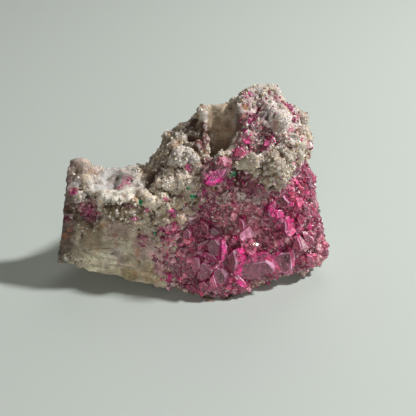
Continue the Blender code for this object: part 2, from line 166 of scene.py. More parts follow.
def store(obj, name, values, domain="POINT"):
    """Keep one number or one colour for each point, or each face, as an attribute."""
    values = np.asarray(values, float)
    if values.ndim == 1:
        attribute = obj.data.attributes.new(name, "FLOAT", domain)
        attribute.data.foreach_set("value", values)
    else:
        attribute = obj.data.attributes.new(name, "FLOAT_COLOR", domain)
        padded = np.ones((len(values), 4))
        padded[:, :3] = values
        attribute.data.foreach_set("color", padded.ravel())


def field_of(obj, name):
    """The numbers that store() keeps under a name."""
    return read(obj.data.attributes[name].data, "value")


def color_of(obj, name):
    """The colours that store() keeps under a name."""
    return read(obj.data.attributes[name].data, "color", 4)[:, :3]


def unit(vectors):
    """Vectors, one in a row, made 1 long."""
    return vectors / np.linalg.norm(vectors, axis=1, keepdims=True)


def smoothstep(low, high, value):
    """0 below low, 1 above high, and eased between them."""
    share = np.clip((value - low) / (high - low), 0.0, 1.0)
    return share * share * (3 - 2 * share)


def grain(points, size, octaves, seed):
    """Fractal noise of about -1 to 1 at points in millimetres."""
    offset = Vector((seed * 17.3, seed * 5.1, seed * 9.7))
    return np.array([
        noise.fractal(Vector(p) / size + offset, 1.0, 2.0, octaves) for p in points
    ])


def cells(points, size, seed):
    """Distance to the nearest of many scattered seeds, in cell sizes: 0 at a seed."""
    offset = Vector((seed * 3.7, seed * 11.9, seed * 7.3))
    return np.array([noise.voronoi(Vector(p) / size + offset)[0][0] for p in points])


# ---- finishes ---------------------------------------------------------------------------------------

CALCITE_IOR = 1.6

WINE = (0.22, 0.010, 0.045)
MAGENTA = (0.68, 0.03, 0.25)
ROSE = (0.62, 0.10, 0.22)
MAUVE = (0.34, 0.09, 0.165)
LILAC = (0.74, 0.30, 0.46)
CRIMSON = (0.60, 0.02, 0.12)
PALE = (0.80, 0.55, 0.61)
FROST = (0.96, 0.88, 0.88)
RUST = (0.52, 0.22, 0.09)


class Finish:
    """A material in the making, with its patterns' sizes in millimetres."""

    def __init__(self, name):
        self.material = bpy.data.materials.new(name)
        self.material.use_nodes = True
        self.tree = self.material.node_tree
        self.shader = self.tree.nodes["Principled BSDF"]
        self.place = self.tree.nodes.new("ShaderNodeTexCoord").outputs["Object"]

    def plug(self, socket, value):
        """Give an input another node's output, a colour or a number."""
        if isinstance(value, bpy.types.NodeSocket):
            self.tree.links.new(value, socket)
        elif socket.type == "RGBA":
            socket.default_value = (*value, 1.0)
        else:
            socket.default_value = value

    def node(self, kind, settings=None, **inputs):
        """Add a node. In an input's name _ stands for a space, and _0 is the first input."""
        made = self.tree.nodes.new(kind)
        for setting, value in (settings or {}).items():
            setattr(made, setting, value)
        for name, value in inputs.items():
            key = int(name[1:]) if name[0] == "_" else name.replace("_", " ")
            self.plug(made.inputs[key], value)
        return made

    def set(self, **inputs):
        """Set the shader's inputs."""
        for name, value in inputs.items():
            self.plug(self.shader.inputs[name.replace("_", " ")], value)

    def attribute(self, name, output="Fac"):
        return self.node("ShaderNodeAttribute", {"attribute_name": name}).outputs[output]

    def noise(self, size, detail=2.0, roughness=0.5, place=None):
        """Noise with bumps of about the given size."""
        made = self.node("ShaderNodeTexNoise", Vector=place or self.place, Scale=1 / (size * MM),
                         Detail=detail, Roughness=roughness)
        return made.outputs["Fac"]

    def mapped(self, value, low, high, to_low=0.0, to_high=1.0):
        """A value from low to high, eased onto another span."""
        made = self.node("ShaderNodeMapRange", {"interpolation_type": "SMOOTHSTEP"}, Value=value,
                         From_Min=low, From_Max=high, To_Min=to_low, To_Max=to_high)
        return made.outputs["Result"]

    def mixed(self, share, first, second, blend="MIX"):
        """The first colour with a share of the second laid over it."""
        made = self.node("ShaderNodeMix", {"data_type": "RGBA", "blend_type": blend}, _0=share,
                         _6=first, _7=second)
        return made.outputs[2]

    def maths(self, operation, first, second):
        return self.node("ShaderNodeMath", {"operation": operation}, _0=first, _1=second).outputs[0]

    def times(self, first, second):
        return self.maths("MULTIPLY", first, second)

    def plus(self, first, second):
        return self.maths("ADD", first, second)

    def minus(self, first, second):
        return self.maths("SUBTRACT", first, second)

    def bump(self, height, strength, distance):
        """Raise a pattern from the surface."""
        made = self.node("ShaderNodeBump", Strength=strength, Distance=distance * MM, Height=height)
        self.set(Normal=made.outputs[0])


# White sugar on the knobs, partly a painted highlight on their raised tops.
KNOB_WHITE_AND_HIGHLIGHT = (0.86, 0.82, 0.77)
STREAK_BROWN = (0.30, 0.23, 0.17)
# Painted shade that darkens the rock's crevices and hollows.
PAINTED_CREVICE_SHADE = (0.12, 0.075, 0.055)
SPECK_BLACK = (0.085, 0.07, 0.045)

# What dust leaves on the rock: a noise's size, detail and roughness, how much dust adds to it, from
# where to where it shows, how strongly, and its colour.
DUST_LAYERS = {
    "blush": ((2.0, 5, 0.65), 0.32, (0.60, 0.84), 0.75, (0.58, 0.27, 0.32)),
    "spots": ((0.75, 4, 0.62), 0.26, (0.70, 0.80), 0.92, (0.46, 0.035, 0.16)),
    "pepper": ((0.42, 2, 0.5), 0.24, (0.64, 0.74), 0.65, (0.64, 0.20, 0.31)),
}


def rock_finish():
    """Pale carbonate: white on its knobs, partly a painted highlight, painted shade in its crevices, and
    stained pink where crystals grow.
    """
    rock = Finish("crumbly_carbonate")
    hollow, dust, crumb = rock.attribute("hollow"), rock.attribute("dust"), rock.attribute("crumb")

    mottle = rock.mapped(rock.noise(1.9, 5, 0.62), 0.3, 0.7, 0.66, 1.22)
    grains = rock.mapped(rock.noise(0.36, 3, 0.7), 0.34, 0.66, -0.38, 0.28)
    grains = rock.plus(rock.times(grains, rock.mapped(crumb, 0.0, 0.8, 0.65, 1.0)), 1.0)
    color = rock.mixed(1.0, rock.attribute("stain_and_painted_light", "Color"), rock.times(mottle, grains), "MULTIPLY")
    # The raised knobs turn white: white sugar, partly a painted highlight on their tops.
    knobs = rock.times(rock.mapped(hollow, 0.02, -0.16), crumb)
    sugar = rock.mapped(rock.noise(0.8, 4, 0.6), 0.42, 0.62)
    color = rock.mixed(rock.times(rock.times(knobs, sugar), 0.75), color, KNOB_WHITE_AND_HIGHLIGHT)
    rust = rock.mapped(rock.noise(2.7, 5), 0.60, 0.68)
    color = rock.mixed(rock.times(rust, 0.45), color, RUST)
    color = streaked(rock, color, crumb)
    for pattern, added_by_dust, shows, strength, paint in DUST_LAYERS.values():
        layer = rock.plus(rock.noise(*pattern), rock.times(dust, added_by_dust))
        color = rock.mixed(rock.mapped(layer, *shows, 0.0, strength), color, paint)
    # Painted shade: the rock is darker the deeper a point lies in a hollow.
    color = rock.mixed(rock.mapped(hollow, 0.03, 0.26, 0.0, 0.86), color, PAINTED_CREVICE_SHADE)
    specks = rock.mapped(rock.noise(0.6, 2), 0.69, 0.74)
    color = rock.mixed(rock.times(specks, 0.8), color, SPECK_BLACK)

    relief = rock.plus(rock.noise(0.30, 3, 0.6), rock.times(rock.noise(0.85, 3), 1.6))
    rock.bump(rock.times(rock.plus(crumb, 0.25), relief), 0.8, 0.36)
    rock.set(Base_Color=color, Roughness=rock.mapped(grains, 0.7, 1.2, 0.95, 0.62),
             Specular_IOR_Level=0.4)
    return rock.material


def streaked(rock, color, crumb):
    """Long brown streaks, a little aslant, on the rock's smooth faces."""
    drawn_out = rock.node("ShaderNodeMapping", Vector=rock.place, Rotation=(0, math.radians(-8), 0),
                          Scale=(0.22, 0.22, 1)).outputs[0]
    streaks = rock.mapped(rock.noise(1.1, 5, 0.6, drawn_out), 0.46, 0.66, 0.0, 0.6)
    smooth = rock.minus(1.0, rock.mapped(crumb, 0.1, 0.5))
    return rock.mixed(rock.times(streaks, smooth), color, STREAK_BROWN)


CLEAR_SIDE = (0.52, 0.012, 0.17)
FROSTED_FRONT = (0.37, 0.125, 0.195)
# Painted highlight along the rims of the crystals' front faces.
PAINTED_RIM_LIGHT = (0.98, 0.50, 0.74)
MOTES = (0.92, 0.72, 0.76)


def crystal_finish():
    """Magenta calcite: a deep body, frosted fronts, clear sides, and a painted highlight along the rims of
    the front faces.
    """
    calcite = Finish("magenta_calcite")
    tone, splayed = calcite.attribute("tone"), calcite.attribute("splayed")

    tint = calcite.mixed(calcite.times(splayed, 0.65), calcite.attribute("tint", "Color"), CLEAR_SIDE)
    cloud = calcite.mapped(calcite.noise(0.9, 4, 0.6), 0.3, 0.7, 0.42, 1.50)
    light = calcite.times(calcite.mapped(tone, 0.0, 1.0, 0.30, 1.70),
                          calcite.plus(calcite.attribute("facet"), 1.0))
    body = calcite.mixed(1.0, tint, calcite.times(cloud, light), "MULTIPLY")
    frost = calcite.mapped(calcite.noise(1.5, 4, 0.6), 0.34, 0.66)
    frost = calcite.times(calcite.times(frost, calcite.minus(1.0, splayed)), 0.65)
    color = calcite.mixed(frost, body, FROSTED_FRONT)
    uneven = calcite.times(calcite.minus(calcite.noise(0.7, 3, 0.6), 0.5), 0.6)
    # Painted highlight: a line of light along the front faces' rims, from the edge attribute.
    rim = calcite.mapped(calcite.plus(calcite.attribute("edge"), uneven), 0.30, 1.0)
    color = calcite.mixed(rim, color, PAINTED_RIM_LIGHT)
    motes = calcite.mapped(calcite.noise(0.26, 2), 0.61, 0.69)
    color = calcite.mixed(calcite.times(motes, 0.75), color, MOTES)

    polish = calcite.mapped(calcite.noise(0.9, 3), 0.35, 0.65, 0.20, 0.52)
    polish = calcite.minus(polish, calcite.mapped(tone, 0.8, 1.0, 0.0, 0.14))
    calcite.bump(calcite.plus(calcite.noise(0.22, 3), calcite.noise(0.8, 2)), 0.5, 0.12)
    calcite.set(Base_Color=color, Roughness=polish, IOR=CALCITE_IOR, Coat_Weight=0.2,
                Coat_Roughness=0.1, Subsurface_Weight=0.2, Subsurface_Radius=(1.0, 0.12, 0.40),
                Subsurface_Scale=0.9 * MM)
    return calcite.material


SUGAR_SIZE = 0.45                   # size of a bed's painted grains
# Painted shade in the bed's hollows, between its grains and crystals.
SUGAR_HOLLOW_SHADE = (0.12, 0.015, 0.03)


def sugar_finish():
    """The bed between the crystals: a mass of tiny grains, each with its own tone, with painted shade in
    its hollows.
    """
    sugar = Finish("pink_sugar")
    grains = sugar.node("ShaderNodeTexVoronoi", {"feature": "F1"}, Vector=sugar.place,
                        Scale=1 / (SUGAR_SIZE * MM))
    chances = sugar.node("ShaderNodeSeparateColor", Color=grains.outputs["Color"]).outputs
    body = sugar.mixed(1.0, sugar.attribute("tint", "Color"),
                       sugar.mapped(chances[0], 0.0, 1.0, 0.55, 1.5), "MULTIPLY")
    body = sugar.mixed(sugar.mapped(chances[1], 0.80, 0.95, 0.0, 0.7), body, MAGENTA)
    body = sugar.mixed(sugar.mapped(chances[2], 0.78, 0.86, 0.0, 0.9), body, PALE)
    body = sugar.mixed(sugar.mapped(chances[2], 0.18, 0.10, 0.0, 0.8), body, WINE)
    # Painted shade: the bed darkens in its hollows.
    in_hollow = sugar.mapped(sugar.attribute("hollow"), 0.03, 0.24, 0.0, 0.6)
    relief = sugar.minus(sugar.noise(0.3, 2), sugar.times(grains.outputs["Distance"], 1.2))
    sugar.bump(relief, 0.8, 0.3)
    sugar.set(Base_Color=sugar.mixed(in_hollow, body, SUGAR_HOLLOW_SHADE),
              Roughness=sugar.mapped(chances[0], 0.0, 1.0, 0.14, 0.62), IOR=CALCITE_IOR,
              Subsurface_Weight=0.15, Subsurface_Radius=(1.0, 0.2, 0.42), Subsurface_Scale=0.6 * MM)
    return sugar.material


def clear_finish():
    """Clear calcite with a breath of pink and a few cloudy veils."""
    clear = Finish("clear_calcite")
    veils = clear.mapped(clear.noise(0.8, 4, 0.6), 0.40, 0.66)
    clear.bump(clear.noise(0.3, 3), 0.3, 0.08)
    clear.set(Base_Color=clear.mixed(veils, (0.94, 0.58, 0.61), (0.90, 0.76, 0.72)),
              Transmission_Weight=clear.mapped(veils, 0.0, 1.0, 0.85, 0.25),
              Roughness=clear.mapped(veils, 0.0, 1.0, 0.06, 0.40), IOR=CALCITE_IOR)
    return clear.material


def grain_finish(name, bumpy):
    """Loose mineral grains: each has its own colour, kept on its corners."""
    grains = Finish(name)
    cloud = grains.mapped(grains.noise(0.7, 3), 0.3, 0.7, 0.75, 1.15)
    grains.bump(grains.noise(0.2, 3), bumpy, 0.1)
    grains.set(Base_Color=grains.mixed(1.0, grains.attribute("tint", "Color"), cloud, "MULTIPLY"),
               Roughness=grains.mapped(cloud, 0.75, 1.15, 0.9, 0.5))
    return grains.material


# ---- the host rock ----------------------------------------------------------------------------------

SKIN_SIZE = 0.34        # size of the skin's faces
SKIN_SMOOTHING = 5
UNDERCUT = 1.8          # how far the foot of the rock draws in under its sides
UNDERCUT_HEIGHT = 3.2   # and from which height
FRINGE = 2.4            # how far the wall's small crystals spread onto the rock
FRINGE_DUST = 0.3       # how much magenta dust the fringe adds
FLAT_DEPTH = (1.2, 2.6)     # rock farther than this from a flat place's plane is left alone
FLAT_FACING = (0.1, 0.5)    # and rock that faces another way is too
FIRM_HEIGHT = 1.2       # the roughness fades out below this height, so that the rock stays on the floor

CREAM = (0.74, 0.66, 0.50)
CHALK = (0.80, 0.74, 0.69)
BONE = (0.74, 0.62, 0.46)
TAUPE = (0.44, 0.34, 0.24)
TAN = (0.62, 0.44, 0.25)
OLIVE = (0.33, 0.25, 0.14)
NICHE_BROWN_AND_SHADE = (0.12, 0.065, 0.045)
GULLY_SHADE_UMBER = (0.24, 0.16, 0.11)
BLUSH = (0.66, 0.36, 0.38)
CLARET = (0.20, 0.02, 0.045)

# How crumbly the rock is: middle, radius and crumbliness there.
USUAL_CRUMB = 0.85
CRUMB = [
    ((-20, -12, 8), 12, 0.05),          # smooth cleaved face of the left block
    ((-10, -12.5, 7), 6.5, 0.30),
    ((-32, -6, 13), 8, 0.10),           # left end
    ((-31.5, -6, 21), 5, 0.15),
    ((-27, -5, 27), 5.0, 0.38),         # horn
    ((11, -1, 39), 6.5, 0.68),          # head
    ((17, -1, 38), 5.5, 0.65),          # the head's bright side
    ((12.0, -2.3, 39.3), 1.5, 0.35),
    ((3.0, 1.2, 35), 6.5, 0.0),         # recess
    ((2.0, -1.5, 30), 3.0, 0.1),
    ((-0.9, -0.8, 34.2), 2.6, 1.0),     # broken foot of the rib
    ((-20, -5, 24.5), 6, 0.12),         # plateau
    ((-14, -4, 24.6), 3, 0.4),
    ((-19.5, -8.2, 22.9), 3.2, 0.15),
    ((-16.5, -7.6, 23.8), 2.6, 0.2),
    ((-18.5, -10.0, 20.2), 3.6, 1.0),   # band under the plateau's lip
    ((-12.5, -9.2, 22.5), 3.0, 0.35),   # cream ledge
    ((-9.0, -10.8, 21.0), 2.4, 0.45),
    ((8.0, -9.0, 33.0), 2.8, 0.25),     # cream lump
    ((0, 9, 14), 13, 0.5),
    ((-14, 12, 12), 8.0, 0.10),         # broken faces of the back
    ((12, 15, 12), 8.0, 0.20),
    ((10, 13, 32), 5.0, 0.25),
    ((0, 0, 0), 9, 0.3),
]

# The rock's colours: middle, radius, colour and strength, both stains and, where marked, painted shade or
# highlights. Later ones lie over earlier ones.
USUAL_STAIN = (0.62, 0.52, 0.42)
STAINS_AND_PAINTED_LIGHT = [
    # back
    ((-14, 12, 12), 9.0, BONE, 0.8),
    ((12, 15, 12), 8.5, CREAM, 0.8),
    ((4, 14, 24), 6.0, (0.50, 0.36, 0.24), 0.7),
    ((22, 10, 18), 5.0, CHALK, 0.8),
    ((-26, 8, 8), 6.0, OLIVE, 0.6),
    ((2, 15, 7), 4.0, RUST, 0.4),
    ((10, 13, 32), 5.5, CHALK, 0.8),
    # smooth face of the left block
    ((-20, -12, 9), 15, CREAM, 1.0),
    ((-24, -10.5, 10.5), 4.2, BONE, 0.6),
    ((-19.5, -10.3, 15.8), 4.2, (0.46, 0.33, 0.29), 0.85),
    ((-20.3, -10.9, 8.8), 2.4, (0.44, 0.33, 0.33), 0.7),
    ((-19.8, -11.3, 6.3), 2.0, BLUSH, 0.35),
    ((-15.5, -11.8, 9.4), 3.0, OLIVE, 0.45),
    ((-12.5, -12.6, 5.2), 3.6, TAN, 0.65),
    ((-13.6, -11.9, 11.2), 3.4, (0.66, 0.46, 0.43), 0.8),
    ((-10.6, -11.8, 10.6), 3.2, (0.86, 0.54, 0.56), 0.95),
    ((-9.4, -12.4, 7.0), 2.6, (0.86, 0.56, 0.56), 0.95),
    ((-9.0, -11.8, 13.4), 1.8, (0.80, 0.42, 0.46), 0.9),
    ((-14.3, -11.2, 14.2), 2.6, (0.54, 0.33, 0.31), 0.8),
    ((-11.3, -11.6, 14.6), 2.4, (0.62, 0.44, 0.40), 0.8),
    ((-26.8, -10.0, 14.2), 2.0, (0.30, 0.16, 0.12), 0.75),
    ((-24.0, -9.9, 16.0), 2.2, OLIVE, 0.7),
    ((-20.2, -10.6, 14.1), 0.9, (0.34, 0.13, 0.12), 0.8),
    ((-26.0, -9.9, 13.0), 3.8, (0.32, 0.25, 0.16), 0.85),
    ((-29.6, -9.2, 9.0), 3.0, (0.40, 0.35, 0.27), 0.8),
    ((-22.6, -10.8, 7.6), 3.0, (0.94, 0.87, 0.68), 0.9),
    ((-26.6, -10.2, 6.4), 3.2, (0.94, 0.86, 0.64), 0.9),
    ((-21.0, -11.4, 4.0), 2.6, (0.86, 0.76, 0.54), 0.8),
    ((-24.6, -10.4, 10.2), 1.1, (0.62, 0.46, 0.26), 0.6),
    ((-18.2, -11.3, 8.2), 1.6, (0.36, 0.27, 0.20), 0.7),
    ((-19.8, -11.0, 11.6), 1.8, (0.86, 0.80, 0.68), 0.8),
    ((-17.6, -11.7, 4.6), 2.6, (0.46, 0.34, 0.18), 0.8),
    # left end: painted shade where it faces away from the light, with a few dark red spots
    ((-32.8, -1, 15), 7.0, (0.22, 0.17, 0.15), 0.95),
    ((-34.6, -8.4, 6.0), 4.6, (0.20, 0.17, 0.13), 0.9),
    ((-33.6, -8.6, 10.5), 4.6, (0.13, 0.10, 0.08), 0.9),
    ((-32.4, -8.8, 14.5), 4.6, (0.10, 0.065, 0.055), 0.9),
    ((-31.6, -8.6, 18.5), 4.2, (0.09, 0.05, 0.045), 0.9),
    ((-31.4, -7.6, 22.5), 3.4, (0.10, 0.055, 0.05), 0.9),
    ((-30.6, -6.6, 25.4), 2.6, (0.13, 0.08, 0.07), 0.9),
    ((-30.4, -8.2, 20.0), 1.1, (0.20, 0.02, 0.06), 0.9),
    ((-30.6, -8.4, 17.4), 1.2, (0.18, 0.02, 0.06), 0.9),
    ((-29.9, -8.6, 14.6), 1.2, (0.18, 0.04, 0.07), 0.7),
    ((-27.6, -9.2, 21.4), 2.0, (0.46, 0.36, 0.32), 0.9),
    ((-26.6, -9.8, 17.2), 1.6, (0.22, 0.09, 0.09), 0.8),
    # horn
    ((-27.5, -5, 27), 3.6, (0.60, 0.47, 0.41), 0.95),
    ((-29.6, -5.4, 25.8), 1.9, (0.30, 0.21, 0.19), 0.9),
    ((-28.2, -4.6, 29.2), 1.6, (0.44, 0.32, 0.28), 0.9),
    ((-26.4, -7.8, 22.4), 1.6, (0.30, 0.27, 0.27), 0.9),
    ((-28.2, -6.0, 25.0), 1.3, (0.66, 0.64, 0.66), 0.95),
    ((-28.7, -7.5, 23.9), 0.9, (0.32, 0.02, 0.11), 0.9),
    ((-26.1, -5.6, 25.8), 1.3, BONE, 0.7),
    ((-24.6, -5.8, 24.6), 1.6, (0.66, 0.58, 0.50), 0.7),
    # plateau
    ((-20, -4.6, 25), 6.2, (0.66, 0.65, 0.64), 1.0),
    ((-24.3, -2.4, 26.2), 2.2, (0.62, 0.48, 0.42), 0.7),
    ((-20.8, -4.4, 24.4), 2.1, (0.42, 0.43, 0.45), 0.9),
    ((-20.2, -4.8, 23.8), 0.8, (0.15, 0.14, 0.13), 0.9),
    ((-17.3, -4.8, 24.5), 1.8, (0.80, 0.46, 0.54), 0.6),
    ((-18.9, -6.6, 24.0), 1.2, (0.80, 0.54, 0.58), 0.5),
    ((-14.4, -5.6, 24.8), 2.6, CHALK, 1.0),
    ((-20.7, -8.4, 22.8), 2.8, (0.95, 0.90, 0.80), 1.0),
    ((-17.7, -8.0, 23.4), 2.6, (0.95, 0.90, 0.80), 1.0),
    # band under the lip, and the ledges
    ((-19.0, -10.0, 20.2), 3.2, OLIVE, 0.9),
    ((-21.8, -9.6, 19.2), 2.4, OLIVE, 0.8),
    ((-16.0, -9.9, 20.6), 2.8, (0.36, 0.27, 0.17), 0.85),
    ((-24.5, -9.0, 21.8), 1.8, (0.62, 0.50, 0.36), 0.6),
    ((-16.2, -10.4, 17.6), 2.4, (0.44, 0.32, 0.24), 0.8),
    ((-12.9, -10.6, 17.4), 2.2, (0.72, 0.62, 0.48), 0.9),
    ((-12.6, -9.4, 22.4), 3.0, (0.88, 0.76, 0.60), 1.0),
    ((-9.8, -10.4, 21.4), 2.6, (0.84, 0.72, 0.56), 0.95),
    ((-14.4, -9.0, 22.6), 1.6, (0.58, 0.44, 0.28), 0.7),
    ((-8.0, -11.2, 18.6), 2.4, (0.60, 0.42, 0.30), 0.9),
    ((-5.8, -11.0, 20.0), 2.8, (0.95, 0.66, 0.52), 0.95),
    ((-6.4, -9.4, 22.6), 2.4, (0.82, 0.64, 0.44), 0.95),
    # gully, popcorn and ridge
    # Painted shade in the gully, whose wall faces away from the light.
    ((-12.0, -3.6, 25.2), 2.6, GULLY_SHADE_UMBER, 0.95),
    ((-10.6, -2.2, 27.0), 2.0, (0.34, 0.26, 0.22), 0.9),
    ((-9.4, -7.6, 24.6), 3.2, (0.95, 0.82, 0.66), 0.95),
    ((-5.6, -7.4, 26.8), 3.4, (1.00, 0.86, 0.72), 0.95),
    ((-5.6, -3.6, 30.4), 3.4, (0.76, 0.68, 0.62), 0.9),
    ((-3.2, -5.2, 30.2), 2.0, (0.95, 0.91, 0.90), 0.9),
    ((-8.0, -2.5, 29.6), 2.2, (0.58, 0.50, 0.40), 0.8),
    ((-9.0, 0.4, 31.6), 2.4, (0.36, 0.31, 0.22), 0.9),
    ((-6.8, 1.2, 33.4), 2.4, (0.44, 0.38, 0.32), 0.9),
    # Brown rock on the ridge's left face and in the dark niche, darkened further as painted shade.
    ((-3.1, 1.8, 34.8), 2.6, (0.16, 0.11, 0.09), 1.0),
    ((-3.4, 0.2, 32.6), 1.8, NICHE_BROWN_AND_SHADE, 0.95),
    ((-1.8, -2.4, 32.0), 1.7, (0.14, 0.06, 0.055), 0.95),
    ((-0.4, -5.6, 30.2), 1.5, CLARET, 0.6),
    ((-4.6, 2.6, 35.6), 1.6, (0.52, 0.46, 0.42), 0.8),
    # recess and rib
    ((3.0, 1.4, 35.5), 6.0, TAUPE, 1.0),
    ((2.4, -1.6, 31.2), 3.2, (0.28, 0.20, 0.14), 1.0),
    ((2.4, 2.8, 38.6), 2.0, (0.52, 0.44, 0.32), 0.6),
    ((6.3, 0.8, 37.2), 1.6, (0.30, 0.24, 0.22), 0.8),
    # Painted highlight on the rib's lit edge.
    ((-0.5, 0.6, 37.6), 1.5, (0.86, 0.80, 0.74), 1.0),
    ((-0.7, 3.0, 39.4), 1.3, RUST, 0.55),
    # head
    ((14, -2, 38), 10.5, (0.82, 0.76, 0.73), 1.0),
    ((9.6, 1.6, 40.6), 2.6, (0.62, 0.50, 0.49), 0.95),
    # Painted shade on the head's left flank, which faces away from the light.
    ((6.8, -1.6, 37.0), 3.0, (0.27, 0.20, 0.17), 0.95),
    ((8.4, -1.2, 37.8), 2.0, (0.30, 0.20, 0.17), 0.9),
    ((8.2, 0.6, 39.6), 1.2, RUST, 0.95),
    ((7.6, -1.0, 38.3), 0.9, RUST, 0.9),
    ((12.0, -2.3, 39.3), 1.5, (0.42, 0.39, 0.42), 0.95),
    ((13.6, -4.0, 38.4), 1.4, (0.54, 0.52, 0.56), 0.95),
    # Painted shade in the short slit.
    ((12.6, -3.0, 38.9), 0.7, (0.24, 0.12, 0.09), 0.9),
    ((11.5, -3.3, 37.7), 0.7, (0.22, 0.10, 0.08), 0.9),
    ((11.1, 0.6, 39.2), 0.9, (0.24, 0.02, 0.07), 0.95),
    ((10.2, -1.2, 38.9), 0.9, (0.24, 0.015, 0.06), 0.95),
    ((9.3, -2.3, 38.1), 0.9, (0.46, 0.03, 0.15), 0.9),
    # Painted shade in a pit.
    ((12.1, -4.0, 36.8), 1.1, (0.16, 0.08, 0.07), 0.9),
    ((12.6, -5.6, 35.0), 1.8, (0.40, 0.16, 0.19), 0.75),
    ((8.0, -6.2, 35.2), 2.4, (0.66, 0.52, 0.50), 0.8),
    ((8.2, -8.8, 33.0), 2.6, (0.72, 0.64, 0.50), 1.0),
    ((10.6, -8.6, 32.6), 1.8, (0.52, 0.46, 0.37), 0.9),
    ((14.6, -10.6, 32.6), 3.0, (0.46, 0.37, 0.28), 0.9),
    ((17.0, -9.2, 33.4), 2.6, (0.50, 0.42, 0.32), 0.85),
    ((13.6, -11.2, 28.6), 2.6, (0.46, 0.35, 0.24), 0.9),
    ((16.6, -9.8, 28.6), 2.6, (0.46, 0.35, 0.24), 0.85),
    ((20.4, -2.4, 34.0), 3.0, (0.70, 0.60, 0.44), 0.85),
    ((19.2, -6.0, 34.6), 2.4, (0.72, 0.62, 0.48), 0.8),
    # Painted shade in the crack of the knob.
    ((13.4, -11.4, 26.7), 1.1, (0.14, 0.08, 0.06), 0.8),
    # pockets under the head, over the wall: dark wine rock, darkened further as painted shade under the
    # head's overhang
    ((7.4, -8.9, 28.0), 3.0, (0.16, 0.03, 0.045), 1.0),
    ((10.4, -9.7, 27.0), 2.6, (0.17, 0.06, 0.05), 1.0),
    ((6.2, -8.7, 30.1), 1.2, (0.05, 0.03, 0.025), 1.0),
    ((3.4, -8.8, 26.4), 2.0, (0.24, 0.05, 0.07), 0.8),
    ((-1.0, -8.8, 25.0), 2.6, (0.46, 0.26, 0.22), 0.8),
    ((-2.4, -9.0, 21.6), 2.2, (0.40, 0.30, 0.22), 0.85),
    ((9.5, -9.8, 25.4), 2.2, (0.34, 0.16, 0.15), 0.7),
    ((13.0, -9.0, 24.6), 2.6, (0.12, 0.055, 0.05), 1.0),
    ((15.6, -9.4, 25.6), 2.4, (0.20, 0.12, 0.09), 0.9),
    ((16.3, -10.5, 27.3), 0.9, (0.07, 0.04, 0.03), 1.0),
    # foot of the rib, beside the recess
    ((-0.8, -0.6, 34.4), 2.4, (0.17, 0.09, 0.075), 1.0),
    ((-1.2, -1.8, 32.6), 1.8, (0.24, 0.07, 0.08), 0.9),
]

# Where magenta grains dust the rock: middle, radius and share. Later ones add to earlier ones.
DUSTED = [
    ((14, -2, 38), 12, 0.30),
    ((9, -3, 37), 5, 0.20),
    ((3.0, -8.6, 28.4), 4.0, 0.65),
    ((7.6, -6.4, 34.2), 2.4, 0.35),
    ((-3.8, -6.2, 29.2), 1.3, 0.9),
    ((12.8, -5.4, 35.2), 2.2, 0.6),
    ((14.8, 2.6, 41.2), 1.5, 0.40),
    ((16.4, 3.2, 39.6), 1.2, 0.35),
    ((17.3, 2.8, 38.6), 1.5, 0.50),
    ((18.9, 1.4, 36.8), 1.8, 0.50),
    ((17.3, -2.1, 36.1), 1.1, 0.45),
    ((8.3, 2.7, 41.3), 1.6, 0.35),
    ((9.4, -2.2, 38.2), 1.0, 0.40),
    ((8.5, -4.4, 35.2), 1.4, 0.40),
    ((21.4, -3.4, 33.2), 2.0, 0.50),
    ((18.1, -8.4, 32.0), 2.0, 0.4),
    ((21, -3, 28.5), 3.4, 0.7),
    ((-0.5, -6.2, 29.8), 2.0, 0.55),
    ((-10.8, -6.9, 25.0), 1.8, 0.45),
    ((-8.7, -9.4, 23.0), 0.9, 1.0),
    ((-13.0, -10.2, 20.5), 1.2, 1.0),
    ((-16.6, -10.0, 21.4), 1.0, 0.7),
    ((-7.4, -11.4, 20.6), 1.7, 0.95),
    ((-8.0, -12.2, 17.0), 3.0, 0.8),
    ((-25.8, -9.4, 19.3), 2.1, 0.5),
    ((-28.6, -7.6, 23.8), 1.1, 0.7),
    ((-17.4, -4.8, 24.5), 1.8, 0.6),
    ((-18.6, -6.6, 24.0), 1.3, 0.5),
    ((-15.4, -10.4, 18.4), 1.2, 0.7),
    ((-10.6, -11.6, 16.2), 1.6, 0.8),
    ((-14.0, -11.5, 13.4), 2.2, 0.6),
    ((-9.8, -11.9, 11.4), 3.2, 0.35),
    ((-8.8, -12.4, 7.6), 3.0, 0.35),
    ((-8.6, -13.4, 4.6), 2.6, 0.35),
    ((1.0, -8.8, 25.6), 4.0, 0.5),
    ((9.5, -9.6, 26.6), 4.0, 0.45),
    ((24, 3, 14), 9, 0.45),
    ((22, 6, 24), 6, 0.3),
    ((8, 13, 20), 7, 0.25),
    ((-6, 8, 12), 5, 0.2),
]

